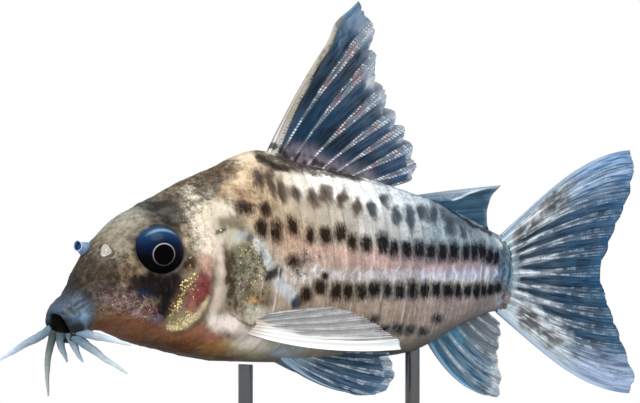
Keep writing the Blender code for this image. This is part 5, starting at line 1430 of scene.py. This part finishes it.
barbels = {
    "barbel_upper_right": (((1.0, 1.9, 14.2), (-1.2, 4.6, 12.3), (-2.8, 7.0, 10.7)), 0.5, "#6f8796", "#b9cbe2"),
    "barbel_lower_right": (((1.1, 1.5, 14.0), (0.7, 2.3, 10.5), (1.2, 3.0, 6.9)), 0.45, "#3f4c4a", "#a9b4b0"),
    "barbel_chin_right": (((1.5, 0.7, 13.8), (1.7, 0.9, 12.2), (2.4, 1.0, 10.6)), 0.6, "#52616c", "#9db0c2"),
    "barbel_chin_left": (((1.8, -0.8, 13.8), (2.2, -1.0, 12.2), (3.1, -1.2, 10.6)), 0.6, "#60758a", "#a9bdd2"),
    "barbel_lower_left": (((1.7, -1.6, 13.6), (3.9, -3.1, 11.5), (6.7, -4.5, 9.4)), 0.55, "#647f92", "#c3d6dd"),
    "barbel_upper_left": (((1.4, -2.0, 14.2), (4.1, -4.0, 13.2), (6.6, -5.5, 12.5)), 0.5, "#7790a4", "#c6d6e4"),
}


def tube(path, radii, around, twist=0.0):
    way = np.gradient(path, axis=0)
    way /= np.linalg.norm(way, axis=1, keepdims=True)
    first = np.cross(way, [0.1, 1.0, 0.2])
    first /= np.linalg.norm(first, axis=1, keepdims=True)
    second = np.cross(way, first)
    turn = np.linspace(0, 2 * math.pi, around, endpoint=False)
    ring = np.cos(turn)[None, :, None] * first[:, None] + np.sin(turn)[None, :, None] * second[:, None]
    return path[:, None] + radii[..., None] * ring


def buildBarbel(name, material):
    path, radius, rootCode, tipCode = barbels[name]
    rows, around = 60, 16
    share = np.linspace(0, 1, rows)
    line = between(path, share * 2)
    seed = sum(map(ord, name))
    line = line + 0.06 * np.stack([ripple(line, 3.0, seed + k) for k in range(3)], -1) * (share * (1 - share) * 4)[:, None]
    radii = (radius * 0.92 * (1 - share) ** 0.85 + 0.09)[:, None] * np.ones((rows, around))
    radii *= 1 + 0.05 * ripple(line, 0.7, seed)[:, None]
    points = tube(line, radii, around)
    paint = np.broadcast_to(hexColour(rootCode), (rows, around, 3)).copy()
    paint = coat(paint, smooth(share * 1.2)[:, None] * np.ones((rows, around)), tipCode)
    flat = np.vstack([points.reshape(-1, 3), line[[0, -1]]])
    colour = np.vstack([paint.reshape(-1, 3), paint[0, :1], paint[-1, :1]])
    quads, corners = gridFaces(rows, around, True)
    ring = np.arange(around)
    following = (ring + 1) % around
    last = (rows - 1) * around
    fans = np.vstack([
        np.column_stack([np.full(around, rows * around), following, ring]),
        np.column_stack([np.full(around, rows * around + 1), last + ring, last + following]),
    ])
    piece = meshPiece(name + "_flesh", bend(flat), [quads, fans], [corners / [around, rows], np.full((2 * around, 3, 2), 0.001)],
                      material, None, {"paint": colour})
    place(piece, "lips", name)


nostrils = {  # left is the near one, a low pale flap; right shows past the snout as a short tube
    "left": {"at": (5.35, 22.45), "radius": 0.58, "wall": 0.35, "height": 0.32, "pit": 0.02, "flare": 0.16, "aim": (0, 0, 0),
             "uneven": (0.22, 0.16), "root": "#5f5a4b", "rim": "#b5b2a6", "inside": "#d3d1c8"},
    "right": {"at": (4.7, 22.8), "radius": 0.56, "wall": 0.06, "height": 1.45, "pit": 0.7, "flare": 0.15, "aim": (-1.0, -1.0, 0.0),
              "uneven": (0.05, 0.04), "root": "#6f93bd", "rim": "#b6cfec", "inside": "#38598a"},
}


def buildNostril(side, material):
    form = nostrils[side]
    at, angle = onSide(*form["at"], side)
    point, out = skinAt(np.array(at), np.array(angle))
    out = out + form["aim"]
    out /= np.linalg.norm(out)
    up = np.array([0, 0, 1.0]) - out[2] * out
    up /= np.linalg.norm(up)
    across = np.cross(up, out)
    radius, wall, height = form["radius"], form["wall"], form["height"]
    profile = (  # radius and height, from the buried root, over the rim and down the pit
        (radius * 1.6, -0.9), (radius * 1.45, -0.1), (radius * 1.15, 0.35 * height), (radius * 0.95, 0.65 * height),
        (radius * 1.04, 0.93 * height), (radius * 0.94, height),
        (radius - wall, height - 0.04), (radius - wall * 1.25, height - 0.4 * form["pit"]),
        (radius - wall * 1.5, height - form["pit"]),
    )
    rows = between(profile, np.linspace(0, len(profile) - 1, 33))
    around = 28
    turn = np.linspace(0, 2 * math.pi, around, endpoint=False)
    uneven = 1 + form["uneven"][0] * np.cos(turn + 0.8) + form["uneven"][1] * np.cos(3 * turn + 1)
    share = smooth(rows[:, 1:2] / height)
    reach = rows[:, 1:2] + form["flare"] * np.cos(turn)[None, :] * share
    points = (point + rows[:, :1, None] * uneven[None, :, None] * (np.cos(turn)[None, :, None] * up + np.sin(turn)[None, :, None] * across)
              + reach[..., None] * out)
    full = np.ones(points.shape[:2])
    paint = np.broadcast_to(hexColour(form["root"]), (*points.shape[:2], 3)).copy()
    paint = coat(paint, smooth(rows[:, 1:2] / height - 0.1) * full, form["rim"])
    paint = coat(paint, smooth((np.arange(33)[:, None] - 24) / 4) * full, form["inside"])
    flat = np.vstack([points.reshape(-1, 3), points[0].mean(0), points[-1].mean(0)])
    colour = np.vstack([paint.reshape(-1, 3), paint[0, :1], paint[-1, :1]])
    quads, corners = gridFaces(33, around, True)
    ring = np.arange(around)
    following = (ring + 1) % around
    last = 32 * around
    fans = np.vstack([
        np.column_stack([np.full(around, 33 * around), following, ring]),
        np.column_stack([np.full(around, 33 * around + 1), last + ring, last + following]),
    ])
    piece = meshPiece("nostril_" + side, bend(flat), [quads, fans], [corners / [around, 33], np.full((2 * around, 3, 2), 0.001)],
                      material, None, {"paint": colour})
    place(piece, "skin")


# ---- the room ----
room = {
    "floorRadius": 225.0,
    "floorColour": "#e6e6e4",
    "world": 0.33,  # light from all round
    "reflected": 0.22,  # how bright the room is in reflections
    "backdrop": 1.0,  # how bright the empty room looks
    "lights": {  # azimuth and elevation in degrees, distance and size in mm, watts, shows in gloss
        "front": ((-32, 24), 620, 400, 2.5, False),
        "overhead": ((-40, 70), 470, 380, 1.75, True),
        "side": ((-80, 36), 560, 220, 0.54, False),
    },
}


def buildRoom():
    count = 96
    turn = np.linspace(0, 2 * math.pi, count, endpoint=False)
    ring = np.column_stack([np.cos(turn), np.sin(turn), np.zeros(count)]) * room["floorRadius"] * millimetre
    mesh = bpy.data.meshes.new("floor")
    mesh.from_pydata(ring.tolist(), [], [list(range(count))])
    floor = bpy.data.objects.new("floor", mesh)
    material, add, shader = newMaterial("matt_paper_floor")  # smooth matt paper: even and pale
    fill(shader, {
        "Base Color": rgba(room["floorColour"]),
        "Roughness": 0.8,
    })
    mesh.materials.append(material)
    bpy.context.scene.collection.objects.link(floor)
    floor.location.z = -0.02 * millimetre
    floor.visible_glossy = False
    world = bpy.data.worlds.new("soft_white")
    world.use_nodes = True
    tree = world.node_tree
    tree.nodes.remove(tree.nodes["Background"])
    path = addNode(tree, "LightPath")
    grey, dim, bright = (
        addNode(tree, "Background", {0: (1, 1, 1, 1), 1: room[key]})
        for key in ("reflected", "world", "backdrop")
    )
    unseen = addNode(tree, "MixShader", {0: path.node.outputs["Is Glossy Ray"], 1: dim, 2: grey})
    both = addNode(tree, "MixShader", {0: path.node.outputs["Is Camera Ray"], 1: unseen, 2: bright})
    tree.links.new(both, tree.nodes["World Output"].inputs[0])
    bpy.context.scene.world = world
    target = Vector((0, 0, 0.022))
    for name, ((azimuth, elevation), distance, size, watts, inGloss) in room["lights"].items():
        light = bpy.data.lights.new(name, "AREA")
        light.shape, light.size, light.energy = "DISK", size * millimetre, watts
        lamp = bpy.data.objects.new(name, light)
        bpy.context.scene.collection.objects.link(lamp)
        turn, tilt = math.radians(azimuth), math.radians(elevation)
        way = Vector((math.sin(turn) * math.cos(tilt), -math.cos(turn) * math.cos(tilt), math.sin(tilt)))
        lamp.location = target + way * distance * millimetre
        lamp.rotation_euler = (-way).to_track_quat("-Z", "Y").to_euler()
        lamp.visible_glossy = inGloss


def buildCamera():
    turn = math.radians(camera["azimuth"])
    right = Vector((math.cos(turn), math.sin(turn), 0))
    back = Vector((math.sin(turn), -math.cos(turn), 0))
    across, up = camera["aim"]
    data = bpy.data.cameras.new("camera")
    data.sensor_width = camera["sensor"]
    data.lens = camera["sensor"] * camera["distance"] / camera["frameWidth"]
    data.clip_end = 10
    lens = bpy.data.objects.new("camera", data)
    bpy.context.scene.collection.objects.link(lens)
    lens.location = (right * across + Vector((0, 0, up)) + back * camera["distance"]) * millimetre
    lens.rotation_euler = (-back).to_track_quat("-Z", "Y").to_euler()
    bpy.context.scene.camera = lens
    bpy.context.scene.view_settings.view_transform = "Standard"


def finishStand():
    steel = brushedSteel()
    acrylic = satinAcrylic()
    for name, finish in (("stand_base", acrylic), ("stand_rod_front", steel), ("stand_rod_rear", steel)):
        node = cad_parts[name]
        node.data.materials.clear()
        node.data.materials.append(finish)


print("camera and room")
buildCamera()
buildRoom()
print("skin")
sockets = buildSkin(catfishSkin())
print("eyes, barbels and nostrils")
glaze, flesh = eyeGlaze(), barbelFlesh()
for sideName in sides:
    buildEye(sideName, sockets[sideName], glaze)
    buildNostril(sideName, flesh)
for barbelName in barbels:
    buildBarbel(barbelName, flesh)
print("fins")
membrane = finMembrane()
for finName, fin in fins.items():
    buildFin(finName, fin, finLooks[finName], membrane)
buildFin("pectoral_fin_left", fins["pectoral_fin_right"], finLooks["pectoral_fin_left"], membrane, -1)
print("stand")
finishStand()
